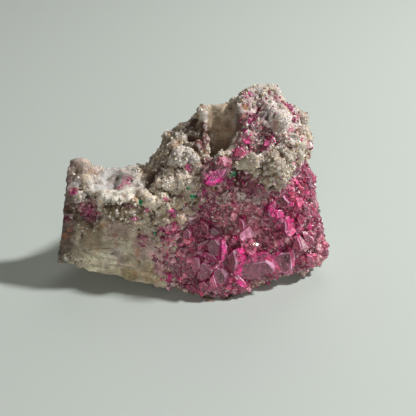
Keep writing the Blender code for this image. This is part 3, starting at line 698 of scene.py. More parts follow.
# Ridges and clefts in the rock: the points along each, its half width, and its height or depth.
RIDGES = {
    "curled rim": (((-22.2, -2.6, 25.2), (-20.9, -1.6, 25.4), (-19.2, -1.7, 25.4), (-17.8, -2.9, 25.1),
                    (-15.6, -4.0, 24.8)), 1.0, 0.7),
    "plateau's pit": (((-20.7, -4.0, 24.8), (-20.4, -5.6, 24.3)), 2.4, -0.9),
    "pit's cleft": (((-20.3, -4.2, 24.4), (-20.2, -6.0, 23.9)), 0.7, -0.5),
    "lip": (((-23.2, -8.0, 22.1), (-20.9, -8.4, 22.7), (-18.3, -7.8, 23.8), (-15.8, -7.2, 24.1),
             (-12.9, -8.6, 23.6), (-10.5, -9.7, 22.0)), 1.0, 0.6),
    "band under the lip": (((-22.5, -9.0, 21.0), (-19.1, -10.1, 21.4), (-16.5, -9.8, 21.6),
                            (-13.6, -9.6, 20.8)), 1.0, -0.8),
    "horn's edge": (((-26.3, -5.4, 27.6), (-25.6, -5.8, 25.4), (-24.8, -7.0, 23.6)), 0.9, 0.4),
    "horn's cleft": (((-27.4, -6.6, 24.4), (-27.0, -8.2, 21.6)), 0.6, -0.5),
    "red slit": (((9.5, -2.1, 38.3), (10.3, -0.9, 38.9), (11.2, 0.5, 39.2)), 0.7, -1.2),
    "short slit": (((12.8, -2.4, 39.8), (12.1, -2.9, 38.8), (11.5, -3.2, 37.9)), 0.5, -0.8),
    "crack in the knob": (((13.0, -11.4, 26.9), (14.4, -11.5, 28.2), (15.9, -11.3, 28.8),
                           (17.6, -9.5, 28.6)), 0.6, -1.2),
    "under the cream lump": (((6.0, -8.6, 29.9), (7.6, -10.0, 30.3), (9.0, -10.5, 31.0),
                              (11.2, -10.4, 31.2)), 0.8, -1.2),
    "head's crest": (((11.4, 2.2, 42.6), (12.6, -0.2, 41.6), (14.0, -1.9, 40.2), (16.2, -3.4, 38.6),
                      (18.0, -5.6, 36.6)), 1.3, 0.5),
    "head's valley": (((10.6, -6.4, 33.5), (12.2, -5.9, 35.6), (13.1, -3.9, 36.4)), 1.0, -1.0),
    "head's shoulder": (((5.2, -5.9, 32.7), (7.7, -4.4, 35.2), (10.2, -3.5, 37.1), (12.6, -2.4, 38.6)),
                        1.1, 0.7),
    "head's fold": (((15.2, -5.6, 36.6), (16.4, -7.0, 34.6), (16.8, -8.8, 32.0)), 0.8, -0.9),
    "dark niche": (((-4.6, 1.9, 34.1), (-3.8, 2.2, 34.9), (-2.4, 2.4, 36.3)), 1.2, -1.0),
    "gully": (((-13.0, -6.3, 24.1), (-12.3, -3.7, 24.8), (-10.3, -2.6, 27.2)), 1.1, -0.9),
    "behind the ball": (((-8.4, -2.6, 29.8), (-6.0, -1.6, 31.6), (-3.6, -2.6, 32.2), (-1.6, -4.4, 31.2),
                         (-0.6, -6.2, 30.0)), 0.8, -1.0),
    "across the popcorn": (((-9.6, -6.4, 26.2), (-7.0, -7.0, 28.0), (-4.4, -7.4, 28.4),
                            (-2.0, -7.4, 28.6)), 0.7, -0.9),
    "over the tan ledge": (((-9.0, -9.0, 23.6), (-6.4, -8.9, 24.4), (-3.8, -8.8, 24.8)), 0.7, -0.9),
    "line on the face": (((-30.8, -9.6, 8.3), (-26.1, -10.1, 9.8), (-20.4, -10.9, 10.8)), 0.5, -0.3),
    "grey hollow": (((-20.7, -10.1, 16.7), (-19.5, -10.6, 14.6)), 2.2, -0.4),
}

# Flat places on the rock: three points of the flat's plane, its reach from their middle, and how much of
# the unevenness goes.
FLATS = {
    "left end": (((-29.9, -7, 26), (-34.4, -7, 3), (-33.4, 5, 14)), 17.0, 1.0),
    "plateau": (((-24.0, -4.0, 24.8), (-14.0, -4.0, 24.8), (-19.0, -7.5, 23.8)), 6.5, 0.9),
    "horn's front": (((-29.4, -6.3, 24.6), (-27.4, -6.5, 24.6), (-28.3, -5.2, 28.2)), 2.4, 0.8),
}

# Knobs that stand out of the rock: the middle, the radius and the height.
KNOBS = [
    ((-3.2, -4.9, 30.6), 1.9, 0.8),
    ((-6.8, -3.9, 30.6), 2.0, 0.8),
    ((-4.9, -7.2, 27.2), 2.0, 0.7),
    ((-8.2, -7.4, 26.2), 2.0, 0.7),
    ((-9.8, -8.4, 23.2), 1.6, 0.6),
    ((-12.4, -9.4, 22.3), 1.8, 0.6),
    ((-6.2, -9.6, 22.3), 1.5, 0.6),
    ((-5.6, -11.1, 20.0), 1.6, 0.6),
    ((8.2, -9.2, 32.6), 2.8, 0.8),
    ((14.4, -11.3, 32.8), 1.7, 0.8),
    ((14.6, -11.3, 30.2), 1.6, 0.7),
    ((17.0, -9.4, 33.2), 1.7, 0.7),
    ((19.3, -6.1, 35.2), 1.7, 0.7),
    ((20.6, -0.6, 35.8), 1.8, 0.7),
]

# The rock's roughness: the size of its forms, how far they move the skin and, of lines, their width.
BROAD = (5.0, 0.35)
GRIT = (0.75, 0.20)
LUMPS = ((2.4, 1.5), (1.15, 0.75))
CREVICES = (4.2, -0.6, 0.20)
CRACKS = (6.5, -0.12, 0.16)
PITS = (2.9, -0.25)
PIT_REACH = (0.34, 0.10)    # how far a pit and its bottom reach, in sizes
LUMP_REACH = 0.95       # how far a lump reaches from its middle, in sizes
LUMP_LEVEL = 0.70       # the height on a lump that stays where the solid has it
SMOOTH_GRIT = 0.3       # how much of the grit is left on smooth faces
SMOOTH_BROAD = 0.5      # and how much of the broad forms

# The wobbling edges of round patches and of ridges: the wobble's size, its depth in radii and its seed.
STAIN_WOBBLE = (2.4, 0.28, 4)
DUST_WOBBLE = (1.6, 0.30, 9)
RIDGE_WOBBLE = (1.3, 0.25, 15)
FLAT_WOBBLE = (2.0, 0.20, 21)
STAIN_WHOLE = 0.55      # the share of a stain's radius inside which it is whole
DUST_WHOLE = 0.45       # and of a dusted place's
FLAT_WHOLE = 0.7        # and of a flat place's
RIDGE_SLOPE = (0.1, 1.1)    # where a ridge's side starts and ends, in half widths


def wobble(points, size, depth, seed, octaves=2):
    """What unevenness adds to distances, so that edges aren't round."""
    return grain(points, size, octaves, seed) * depth


def ragged(points, patch, edge):
    """How far points are from a round patch's middle, in radii, with a wobbling edge."""
    middle, radius = patch[:2]
    return np.linalg.norm(points - np.array(middle), axis=1) / radius + edge


def patched(points, patches, usual):
    """Blend values given for round patches over points."""
    edge = wobble(points, *STAIN_WOBBLE, octaves=3)
    field = np.tile(np.atleast_1d(np.asarray(usual, float)), (len(points), 1))
    for patch in patches:
        value, strength = (*patch[2:], 1.0)[:2]
        share = (1 - smoothstep(STAIN_WHOLE, 1.0, ragged(points, patch, edge))) * strength
        field += (np.atleast_1d(np.asarray(value, float)) - field) * share[:, None]
    return field


def added(points, patches):
    """Add up numbers given for round patches over points."""
    edge = wobble(points, *DUST_WOBBLE, octaves=3)
    return sum(patch[2] * (1 - smoothstep(DUST_WHOLE, 1.0, ragged(points, patch, edge)))
               for patch in patches)


def from_path(points, path):
    """The distance of points from a line through the path's points."""
    nearest = np.full(len(points), np.inf)
    for start, end in zip(np.array(path[:-1]), np.array(path[1:])):
        run = end - start
        share = np.clip((points - start) @ run / (run @ run), 0.0, 1.0)
        nearest = np.minimum(nearest, np.linalg.norm(points - start - share[:, None] * run, axis=1))
    return nearest


def packed_lumps(points, size, rise, seed):
    """Rounded lumps of one size packed side by side, with creases between them."""
    tops = np.sqrt(1 - np.minimum(cells(points, size, seed) / LUMP_REACH, 1.0) ** 2)
    return (tops - LUMP_LEVEL) * rise


def creases(points, size, rise, width, seed):
    """Winding lines, deepest along their middle and nothing beyond their width."""
    return rise * np.clip(1 - np.abs(grain(points, size, 2, seed)) / width, 0.0, 1.0)


def levelled(obj):
    """Bring the rock's flat places onto their planes."""
    points, outward = design_points(obj), normals(obj)
    for corners, reach, share in FLATS.values():
        first, second, third = np.array(corners, float)
        way = np.cross(second - first, third - first)
        way /= np.linalg.norm(way)
        height = (points - first) @ way
        away = np.linalg.norm(points - (first + second + third) / 3 - height[:, None] * way, axis=1)
        inside = 1 - smoothstep(FLAT_WHOLE, 1.0, away / reach + wobble(points, *FLAT_WOBBLE))
        close = 1 - smoothstep(*FLAT_DEPTH, np.abs(height))
        alike = smoothstep(*FLAT_FACING, np.abs(outward @ way))
        points -= (height * share * inside * close * alike)[:, None] * way
    set_positions(obj, (points + np.array(DESIGN_ZERO)) * MM)


def sculpted(points):
    """The named ridges and clefts, and the knobs."""
    edge = wobble(points, *RIDGE_WOBBLE)
    height = np.zeros(len(points))
    for path, half_width, rise in RIDGES.values():
        height += rise * (1 - smoothstep(*RIDGE_SLOPE, from_path(points, path) / half_width + edge))
    for knob in KNOBS:
        reach = np.minimum(ragged(points, knob, edge), 1.0)
        height += knob[2] * np.sqrt(1 - np.maximum(reach, 0.0) ** 2)
    return height


def roughness(points, crumb):
    """Lumps, crevices and grit where the rock is crumbly, and faint cracks and pits where it is smooth."""
    broad = grain(points, BROAD[0], 2, seed=1) * BROAD[1]
    grit = grain(points, GRIT[0], 3, seed=5) * GRIT[1]
    lumps = sum(packed_lumps(points, *lump, seed) for seed, lump in enumerate(LUMPS, 2))
    rough = lumps + creases(points, *CREVICES, 7) + grit + broad
    pits = PITS[1] * smoothstep(*PIT_REACH, cells(points, PITS[0], seed=8))
    smooth = grit * SMOOTH_GRIT + broad * SMOOTH_BROAD + creases(points, *CRACKS, 6) + pits
    return crumb * rough + (1 - crumb) * smooth


def break_surface(obj, points, crumb):
    """Push the skin in and out, and draw in the rock's foot."""
    moved = roughness(points, crumb) + sculpted(points)
    outward = normals(obj)
    above_floor = smoothstep(0.0, FIRM_HEIGHT, points[:, 2])
    set_positions(obj, positions(obj) + outward * (moved * above_floor * MM)[:, None])
    undercut = UNDERCUT * (1 - smoothstep(0.2, UNDERCUT_HEIGHT, points[:, 2])) * MM
    level = outward * np.array((1, 1, 0))
    set_positions(obj, positions(obj) - level * undercut[:, None])


def hollowness(obj, rings=6):
    """How far each point lies under its neighbourhood, in millimetres: more than 0 in a hollow."""
    places = positions(obj)
    first, second = read(obj.data.edges, "vertices", 2, int).T
    count = np.bincount(np.concatenate([first, second]), minlength=len(places))
    mean = places.copy()
    for _ in range(rings):
        total = np.zeros_like(mean)
        np.add.at(total, first, mean[second])
        np.add.at(total, second, mean[first])
        mean = total / count[:, None]
    return ((mean - places) * normals(obj)).sum(axis=1) / MM


def reskinned(node, name, face_size, smoothing):
    """A copy of a solid with an even, slightly smoothed skin."""
    obj = copy_of_node(node, name)
    apply_modifier(obj, "REMESH", mode="VOXEL", voxel_size=face_size * MM)
    apply_modifier(obj, "SMOOTH", factor=0.5, iterations=smoothing)
    return obj


def make_rock():
    """The rock: broken and knobbly, with its flats, ridges, clefts, stains, painted shade and highlights,
    and dust.
    """
    rock = reskinned("matrix", "rock", SKIN_SIZE, SKIN_SMOOTHING)
    levelled(rock)
    points = design_points(rock)
    crumb = patched(points, CRUMB, USUAL_CRUMB)[:, 0]
    break_surface(rock, points, crumb)
    fringe = np.exp(-(from_node(positions(rock), "crystal_wall") / FRINGE) ** 1.5)
    store(rock, "stain_and_painted_light", patched(points, STAINS_AND_PAINTED_LIGHT, USUAL_STAIN))
    store(rock, "fringe", fringe * smoothstep(-0.2, 0.3, normals(rock) @ SEEN_FROM))
    store(rock, "dust", np.minimum(added(points, DUSTED) + fringe * FRINGE_DUST, 1.0))
    store(rock, "crumb", crumb)
    store(rock, "hollow", hollowness(rock))
    select_only(rock)
    bpy.ops.object.shade_smooth()
    rock.data.materials.append(rock_finish())
    fit(rock, "matrix")
    return rock


# ---- crystals ---------------------------------------------------------------------------------------

# The wall's large crystals: the place of each front face, the way it looks (turn and tilt in degrees),
# its colour, how far its back lies to the right of it and above it, and its corners, across and up.
LARGE_CRYSTALS = {
    "grey heart": ((1.3, -13.9, 13.0), (-12, 10), MAUVE, (0.7, 0.6),
        ((-1.5, 1.1), (-0.8, 2.0), (0.4, 2.3), (1.6, 1.0), (1.9, -1.5), (0.3, -1.6), (-1.1, -0.7))),
    "heart's arm": ((-1.0, -13.0, 13.9), (-5, 40), LILAC, (0.1, 0.2),
        ((-1.3, -1.0), (-1.2, -0.2), (0.1, 0.4), (1.3, 0.9), (1.3, 0.2), (0.2, -0.5))),
    "heart's crown": ((1.8, -12.8, 15.3), (10, 45), LILAC, (0.1, 0.3),
        ((-1.6, 0.2), (-1.1, 0.7), (0.4, 0.4), (1.5, -0.4), (0.9, -1.0), (-0.4, -0.3))),
    "heart's right side": ((4.2, -14.3, 12.5), (42, 14), MAGENTA, (0.3, 0.2),
        ((-0.9, 2.5), (-0.2, 2.5), (0.5, 1.1), (-0.2, 0.0), (-1.0, -1.7), (-1.8, -1.5), (-1.3, 1.2))),
    "bar": ((0.8, -14.3, 11.3), (10, 45), MAGENTA, (0.2, 0.2),
        ((-1.6, 1.0), (-1.0, 1.2), (0.5, 0.3), (1.5, -1.0), (1.2, -1.5), (-0.3, -0.9), (-1.6, 0.1))),
    "pale chip": ((-1.7, -12.5, 11.2), (-15, 35), LILAC, (0.1, 0.1),
        ((-0.8, 0.1), (-0.2, 0.7), (0.8, 0.7), (1.2, 0.2), (0.4, -0.9), (-0.4, -0.6))),
    "lower heart": ((-0.6, -14.4, 7.2), (-12, 8), MAUVE, (0.5, 0.5),
        ((-1.2, 1.2), (-0.5, 2.2), (0.4, 1.8), (1.7, 0.5), (1.4, -0.7), (0.7, -1.6), (-0.5, -0.9),
         (-1.1, -0.1))),
    "crossing bar": ((3.0, -14.4, 9.2), (25, 35), LILAC, (0.2, 0.2),
        ((-2.1, -0.2), (-0.6, 0.6), (1.5, 0.9), (1.4, 0.3), (-0.4, -0.2), (-1.8, -0.7))),
    "keystone": ((2.7, -15.6, 6.5), (2, 14), MAUVE, (0.9, 0.4),
        ((-1.3, 1.6), (-0.5, 2.2), (0.3, 1.9), (1.1, 0.7), (1.2, -0.7), (0.7, -1.7), (-0.5, -1.5),
         (-1.2, 0.1))),
    "red spire": ((4.7, -14.3, 9.1), (-42, 8), WINE, (0.5, 0.2),
        ((0.6, 4.0), (1.3, 2.8), (1.9, 1.4), (1.7, -0.6), (1.7, -1.8), (0.4, -1.7), (-0.8, -0.8),
         (-0.7, 0.4), (-0.1, 2.5))),
    "broad slab": ((10.6, -14.2, 6.8), (5, 4), MAUVE, (0.5, 1.1),
        ((-3.5, 1.8), (-2.8, 2.3), (-0.1, 2.5), (2.2, 2.9), (3.3, 1.7), (4.4, -0.1), (2.4, -0.8),
         (0.8, -1.9), (-1.1, -2.0), (-2.7, -1.6), (-3.8, -0.1))),
    "mauve square": ((17.0, -11.6, 6.8), (10, 22), MAUVE, (0.5, 0.6),
        ((-2.4, 1.7), (-0.4, 2.7), (1.8, 2.6), (2.0, 0.5), (1.8, -1.4), (0.9, -2.1), (-0.8, -1.8),
         (-1.7, -1.0), (-2.2, 0.3))),
    "lilac step": ((8.8, -11.7, 15.4), (14, 44), LILAC, (-0.4, 0.1),
        ((-1.8, 0.3), (-0.5, 1.0), (0.7, 1.6), (1.1, 0.9), (1.4, -0.7), (0.6, -1.0), (-0.3, -0.7),
         (-1.2, -1.3), (-1.8, -0.8))),
    "glinting step": ((9.9, -12.6, 12.1), (22, 35), ROSE, (-0.2, 0.1),
        ((-1.3, 1.0), (-0.3, 1.6), (0.9, 0.4), (0.9, -0.6), (-0.4, -1.5), (-1.4, -0.4))),
    "bead": ((5.8, -13.2, 14.6), (10, 20), CRIMSON, (0.1, 0.1),
        ((-0.8, 0.4), (-0.3, 1.0), (0.2, 0.9), (0.5, 0.1), (0.0, -0.5), (-0.5, -0.4))),
    "red wedge": ((7.0, -12.2, 17.9), (-20, 14), CRIMSON, (0.3, 0.1),
        ((-0.4, 1.9), (0.2, 1.6), (0.7, 0.8), (0.8, -0.4), (0.2, -1.4), (-0.3, -0.4))),
    "foot middle": ((1.2, -16.1, 4.8), (0, 10), ROSE, (0.3, 0.2),
        ((-0.5, 1.7), (0.0, 2.4), (0.5, 0.7), (0.9, -0.7), (0.4, -1.4), (-0.4, -0.8), (-0.9, 0.5))),
    "foot wedge": ((7.5, -15.1, 4.9), (25, 30), MAGENTA, (0.2, 0.3),
        ((-1.5, 2.0), (-0.7, 1.6), (0.3, 0.5), (1.0, -0.8), (0.5, -1.6), (-0.4, -0.9), (-1.2, 0.4))),
    "foot left": ((-1.0, -15.6, 3.3), (-10, 14), ROSE, (0.2, 0.2),
        ((-0.9, 1.0), (0.0, 1.6), (1.0, 0.8), (0.9, -0.4), (0.1, -1.1), (-0.7, -0.4))),
    "outer column": ((-2.9, -13.5, 7.8), (-18, 8), ROSE, (0.3, 0.2),
        ((-0.8, 1.8), (0.0, 2.3), (0.9, 2.0), (1.2, 0.4), (1.2, -0.9), (0.4, -1.6), (-0.5, -1.4),
         (-0.9, 0.2))),
    "column's foot": ((-1.3, -14.6, 5.4), (-5, 8), ROSE, (0.2, 0.3),
        ((-0.7, 1.7), (0.3, 1.1), (1.2, 0.0), (0.7, -0.7), (-0.3, -0.5), (-0.9, 0.4))),
    "rose face": ((1.5, -12.2, 16.2), (5, 25), MAUVE, (0.2, 0.2),
        ((-1.0, 0.8), (-0.2, 1.2), (0.7, 0.3), (1.0, -0.7), (0.2, -0.8), (-0.9, -0.3))),
    "rose edge": ((-0.8, -11.4, 16.8), (-15, 20), CRIMSON, (0.2, 0.3),
        ((-0.9, 1.6), (-0.1, 1.3), (0.9, 0.5), (1.1, -1.2), (0.3, -1.0), (-0.5, -0.1))),
    "leaf": ((14.3, -9.9, 20.5), (20, 25), MAGENTA, (-0.3, 0.1),
        ((-1.0, 0.5), (-0.2, 1.2), (0.6, 1.3), (0.4, 0.2), (-0.2, -0.8), (-0.8, -0.7), (-1.2, -0.3))),
    "leaf's red side": ((12.7, -10.3, 19.3), (-35, 10), WINE, (0.2, 0.2),
        ((-0.5, 0.5), (0.4, 1.4), (0.6, 0.5), (1.3, 0.1), (0.5, -0.2), (-0.3, 0.0))),
    "leaf twin": ((16.2, -9.6, 19.0), (30, 20), MAGENTA, (-0.3, 0.1),
        ((-1.3, 1.0), (-1.0, 1.4), (0.2, 1.1), (0.6, 0.4), (0.1, -0.9), (-0.7, -0.7), (-1.2, -0.1))),
    "plum": ((16.0, -8.6, 21.5), (-10, 20), WINE, (0.5, 0.3),
        ((-1.5, 0.4), (-0.7, 1.2), (0.2, 1.5), (0.7, 0.9), (1.5, 0.2), (1.0, -1.1), (0.0, -1.1),
         (-0.8, -0.5))),
    "blade": ((18.4, -10.2, 15.3), (45, 15), LILAC, (0.2, 0.1),
        ((-1.5, 2.5), (-0.4, 2.9), (-0.5, 0.8), (-0.3, -0.6), (-0.3, -1.9), (-1.4, -0.4), (-1.9, 1.0))),
    "blade's dark side": ((16.2, -10.6, 15.9), (-45, 10), WINE, (0.3, 0.1),
        ((-0.7, 1.6), (0.2, 2.2), (0.7, 1.5), (0.9, 0.1), (1.9, -0.7), (0.9, -0.7), (-0.1, -0.4))),
    "blade's crown": ((17.0, -9.3, 17.4), (5, 35), MAGENTA, (0.2, 0.2),
        ((-1.0, 0.1), (-0.2, 0.7), (0.8, 0.5), (0.3, -0.4), (-0.4, -0.8))),
    "white prow": ((21.7, -9.5, 11.5), (50, 30), PALE, (0.2, 0.1),
        ((-1.5, 2.2), (-0.6, 1.9), (0.0, 0.5), (0.3, -0.9), (-0.5, -1.2), (-1.8, -0.7), (-1.6, 0.8))),
    "prow's red side": ((19.6, -10.7, 11.3), (-15, 15), CRIMSON, (0.2, 0.1),
        ((-0.9, -0.9), (-0.5, 1.0), (0.0, 2.2), (0.7, 0.9), (1.2, -0.4), (0.1, -0.9))),
    "egg": ((20.8, -9.1, 17.1), (20, 25), CRIMSON, (0.2, 0.1),
        ((-1.2, 0.9), (-0.5, 1.4), (0.2, 0.8), (0.5, -0.1), (0.0, -0.9), (-0.7, -0.7), (-1.1, 0.1))),
    "pink column": ((19.1, -9.0, 14.8), (20, 10), ROSE, (0.2, 0.2),
        ((-0.7, 1.4), (-0.1, 1.6), (0.3, 0.5), (0.0, -0.8), (-0.5, -0.9), (-0.7, 0.2))),
    "magenta column": ((20.2, -9.1, 14.1), (25, 15), MAGENTA, (0.2, 0.1),
        ((-0.7, 1.1), (-0.1, 1.4), (0.2, 0.6), (-0.1, -0.6), (-0.6, -0.8), (-0.9, 0.2))),
    "dull face": ((23.0, -8.2, 10.7), (25, 12), ROSE, (0.3, 0.3),
        ((-1.7, 2.3), (-0.3, 1.9), (0.9, 0.5), (1.1, -1.4), (-0.4, -1.7), (-0.9, -0.3))),
    "foot block": ((23.5, -9.8, 6.1), (25, 15), ROSE, (0.2, 0.2),
        ((-0.9, 1.8), (0.3, 1.2), (0.8, -0.2), (0.2, -1.2), (-0.7, -0.8), (-1.1, 0.6))),
    "thin pane": ((19.5, -10.6, 7.7), (35, 14), ROSE, (0.2, 0.2),
        ((-0.7, 2.5), (0.1, 2.2), (0.3, 0.2), (-0.3, -2.2), (-0.8, -1.4))),
    "side block": ((20.7, -7.0, 20.1), (35, 14), ROSE, (0.2, 0.2),
        ((-1.4, 1.5), (-0.1, 1.2), (0.6, 0.0), (0.1, -0.8), (-1.2, -0.5))),
    "striped lilac": ((6.6, -15.4, 6.2), (5, 30), LILAC, (0.2, 0.2),
        ((-0.6, 0.8), (0.0, 0.6), (0.6, -0.2), (0.1, -0.5), (-0.6, 0.0))),
    "lilac left": ((-4.7, -12.2, 15.5), (-12, 20), MAUVE, (0.3, 0.3),
        ((-0.6, 0.9), (0.2, 1.5), (0.9, 0.7), (0.8, -0.7), (-0.1, -1.0), (-0.6, -0.2))),
    "small bar": ((0.5, -14.6, 8.6), (-5, 30), MAGENTA, (0.2, 0.2),
        ((-1.0, 0.7), (-0.4, 0.8), (1.0, -0.1), (0.8, -0.5), (-0.1, -0.3))),
}

# The same for the small crusts.
CRUST_CRYSTALS = {
    "ledge_crystals": {
        "ledge slab": ((1.9, -10.1, 29.8), (8, 38), (0.86, 0.03, 0.38), (0.1, -0.2),
                       ((-2.3, -1.4), (-0.9, 0.4), (1.3, 1.7), (2.2, 0.9), (1.2, -0.6), (-0.7, -1.9))),
        "ledge foot": ((0.2, -9.8, 27.9), (-15, 25), (0.46, 0.02, 0.14), (0.0, 0.2),
                       ((-0.9, -0.5), (-0.4, 0.7), (0.7, 0.6), (0.9, -0.4), (0.1, -0.9))),
        "ledge tip": ((3.7, -9.9, 29.0), (35, 35), (0.60, 0.03, 0.24), (-0.1, 0.1),
                      ((-0.6, -0.7), (-0.5, 0.6), (0.5, 0.8), (0.8, -0.3))),
    },
    "pocket_crystals": {
        "red pane": ((6.6, -7.9, 33.7), (-5, 35), (0.40, 0.01, 0.085), (0.1, 0.1),
                     ((-0.9, -0.7), (-0.7, 0.7), (0.4, 1.0), (1.1, 0.3), (0.7, -0.9))),
        "pocket end": ((8.3, -5.6, 35.0), (10, 30), (0.72, 0.05, 0.28), (0.0, 0.0),
                       ((-0.5, -0.4), (-0.3, 0.5), (0.5, 0.4), (0.5, -0.4))),
    },
    "head_crystals": {
        "pit's crystal": ((12.4, -6.2, 34.9), (5, 35), (0.70, 0.04, 0.28), (0.0, 0.0),
                          ((-0.6, -0.4), (-0.4, 0.5), (0.5, 0.5), (0.5, -0.5))),
    },
}
CRYSTAL_DEPTH = 2.4     # how deep the large crystals reach into the bed
CRYSTAL_ROOT = 0.8      # how wide they are down there, as a share
RIM_DEPTH = 0.34        # depth of a large crystal's splayed rim, as a share of its radius
SPLAY = 1.14            # how much wider it is behind that rim
EDGE_WIDTH = 0.05       # share of a crystal's radius that its worn edges take
RIM_WIDTH = 0.26        # width of the painted line of light along the edges of its front face
RIM_GLOW = (-0.3, 0.4)  # how much brighter than usual the painted line's corners are
FULL_RIM = 2.0          # the radius from which a crystal's painted line of light has its whole width
FULL_GLOW = 1.5         # the radius from which a crystal's painted line of light is at its brightest
PAINTED_LIGHT_SIDE = (0.8, 0.6, 0)    # the side of the front face, towards the light, where the painted line is brightest
SORTED_ALONG = Vector((1.0, 1.618, 2.414))      # a mesh's corners and faces are sorted this way
SQUARE_ON = 0.99        # how squarely a front face looks forwards
SIDEWAYS = (0.85, 0.97)     # from a side to a front, by how squarely a face looks forwards
FACET = 0.55            # how far a facet's brightness lies from its crystal's
FACE_SINK = 0.05        # how deep the faces sink inside their rims
LARGE_TONES = (0.3, 0.7)    # the span of the large crystals' tones
LEAN = 12               # degrees that calcite's cleavage leans
CORNER_SLANT = (0.4, 1.4)   # how a cut corner's plane leans sideways, against CORNER_RISE forwards
CORNER_RISE = 0.7
CORNER_REACH = (0.46, 0.78)     # where the cut passes between a block's middle and its corner
BLOCK_SPLAYED = 0.3     # how much a block's faces have of a splayed side's deeper colour

# Small crystals that overgrow a large one's rim between two corners. Sizes are shares of its radius.
STEP_CHANCE = 0.45
STEP_SIZE = (0.22, 0.5)
STEP_HEIGHT = (0.6, 1.4)    # of the step's own width, as is its depth
STEP_DEPTH = 1.2
STEP_SINK = (0.1, 0.9)
STEP_OUT = 1.08
STEP_TIP = 0.35         # how far a step is tipped, in radians


def edit(obj):
    """Open an object in edit mode."""
    select_only(obj)
    bpy.ops.object.mode_set(mode="EDIT")
    return bmesh.from_edit_mesh(obj.data)


def select_where(obj, test):
    """In edit mode, select the corners that pass the test."""
    bpy.ops.mesh.select_mode(type="VERT")
    bpy.ops.mesh.select_all(action="DESELECT")
    bm = bmesh.from_edit_mesh(obj.data)
    for vert in bm.verts:
        vert.select_set(test(vert.co))
    bm.select_flush_mode()
    bmesh.update_edit_mesh(obj.data)


def add_cube(name, size, location=(0, 0, 0)):
    deselect_all()
    bpy.ops.mesh.primitive_cube_add(size=size, location=location)
    cube = bpy.context.active_object
    cube.name = name
    return cube


def leaning_block(name, size, dice):
    """The cleavage shape of calcite, front face up at zero, with one corner cut and worn edges."""
    width, height, depth = size
    slant = math.tan(math.radians(LEAN))
    block = add_cube(name, MM, (0, 0, -depth / 2 * MM))
    block.scale = size
    bpy.ops.object.transform_apply(location=True, rotation=False, scale=True)
    edit(block)
    select_where(block, lambda corner: corner.y > 0)
    bpy.ops.transform.translate(value=(height * slant / 2 * MM, 0, 0))
    select_where(block, lambda corner: corner.z < -depth / 2 * MM)
    bpy.ops.transform.translate(value=(0, depth * slant / 2 * MM, 0))
    cut_corner(width, height, dice)
    wear_edges(width)
    bpy.ops.object.mode_set(mode="OBJECT")
    faces = len(block.data.polygons)
    store(block, "facet", [dice.uniform(-FACET, FACET) for _ in range(faces)], "FACE")
    store(block, "splayed", np.full(faces, BLOCK_SPLAYED), "FACE")
    return block


def cut_corner(width, height, dice):
    """Cut one corner off the front face with a slanting plane."""
    side_x, side_y = dice.choice((-1, 1)), dice.choice((-1, 1))
    slant_x, slant_y = dice.uniform(*CORNER_SLANT), dice.uniform(*CORNER_SLANT)
    away = Vector((side_x * slant_x, side_y * slant_y, CORNER_RISE)).normalized()
    corner = Vector((side_x * width / 2, side_y * height / 2, 0))
    cut = corner * dice.uniform(*CORNER_REACH) * MM
    bpy.ops.mesh.select_all(action="SELECT")
    bpy.ops.mesh.bisect(plane_co=cut, plane_no=away, use_fill=True, clear_outer=True)


def wear_edges(radius):
    """In edit mode, bevel every edge of a crystal of the given size."""
    bpy.ops.mesh.select_all(action="SELECT")
    bpy.ops.mesh.bevel(offset=EDGE_WIDTH * radius * MM, segments=1, affect="EDGES", clamp_overlap=True)


def radius_of(corners):
    return sum(math.hypot(x, y) for x, y in corners) / len(corners)


def extrude_back(depth, across, up, scale):
    bpy.ops.mesh.extrude_region_move(
        TRANSFORM_OT_translate={"value": (across * MM, up * MM, -depth * MM)})
    bpy.ops.transform.resize(value=(scale, scale, 1))


def grown_crystal(name, corners, shift, dice):
    """A crystal with the given front face at zero, a rim that splays back from it, and straight sides."""
    radius = radius_of(corners)
    deselect_all()
    bpy.ops.mesh.primitive_circle_add(vertices=len(corners), radius=MM, fill_type="NGON")
    crystal = bpy.context.active_object
    crystal.name = name
    bm = edit(crystal)
    for vert, (x, y) in zip(bm.verts, corners):
        vert.co = (x * MM, y * MM, 0)
    bmesh.update_edit_mesh(crystal.data)
    bpy.ops.mesh.select_all(action="SELECT")
    extrude_back(RIM_DEPTH * radius, *shift, SPLAY)
    extrude_back(CRYSTAL_DEPTH, 0, 0, CRYSTAL_ROOT)
    bpy.ops.mesh.select_all(action="SELECT")
    bpy.ops.mesh.normals_make_consistent(inside=False)
    wear_edges(radius)
    sink_front(crystal, RIM_WIDTH * min(1.0, radius / FULL_RIM))
    sort_parts(crystal)
    bpy.ops.object.mode_set(mode="OBJECT")
    mark_facets(crystal, radius, dice)
    return crystal


def sink_front(crystal, rim):
    """Inset the front face, so that it lies inside a raised rim. The inner face stays selected."""
    bm = bmesh.from_edit_mesh(crystal.data)
    bpy.ops.mesh.select_mode(type="FACE")
    bpy.ops.mesh.select_all(action="DESELECT")
    for face in bm.faces:
        face.select_set(face.normal.z > SQUARE_ON)
    bmesh.update_edit_mesh(crystal.data)
    bpy.ops.mesh.inset(thickness=rim * MM, depth=-FACE_SINK * MM)


def sort_parts(crystal):
    """In edit mode, sort a crystal's corners and faces by place: a bevel leaves them in any order."""
    bm = bmesh.from_edit_mesh(crystal.data)
    bm.verts.sort(key=lambda corner: corner.co.dot(SORTED_ALONG))
    bm.faces.sort(key=lambda face: face.calc_center_median().dot(SORTED_ALONG))
    bmesh.update_edit_mesh(crystal.data)


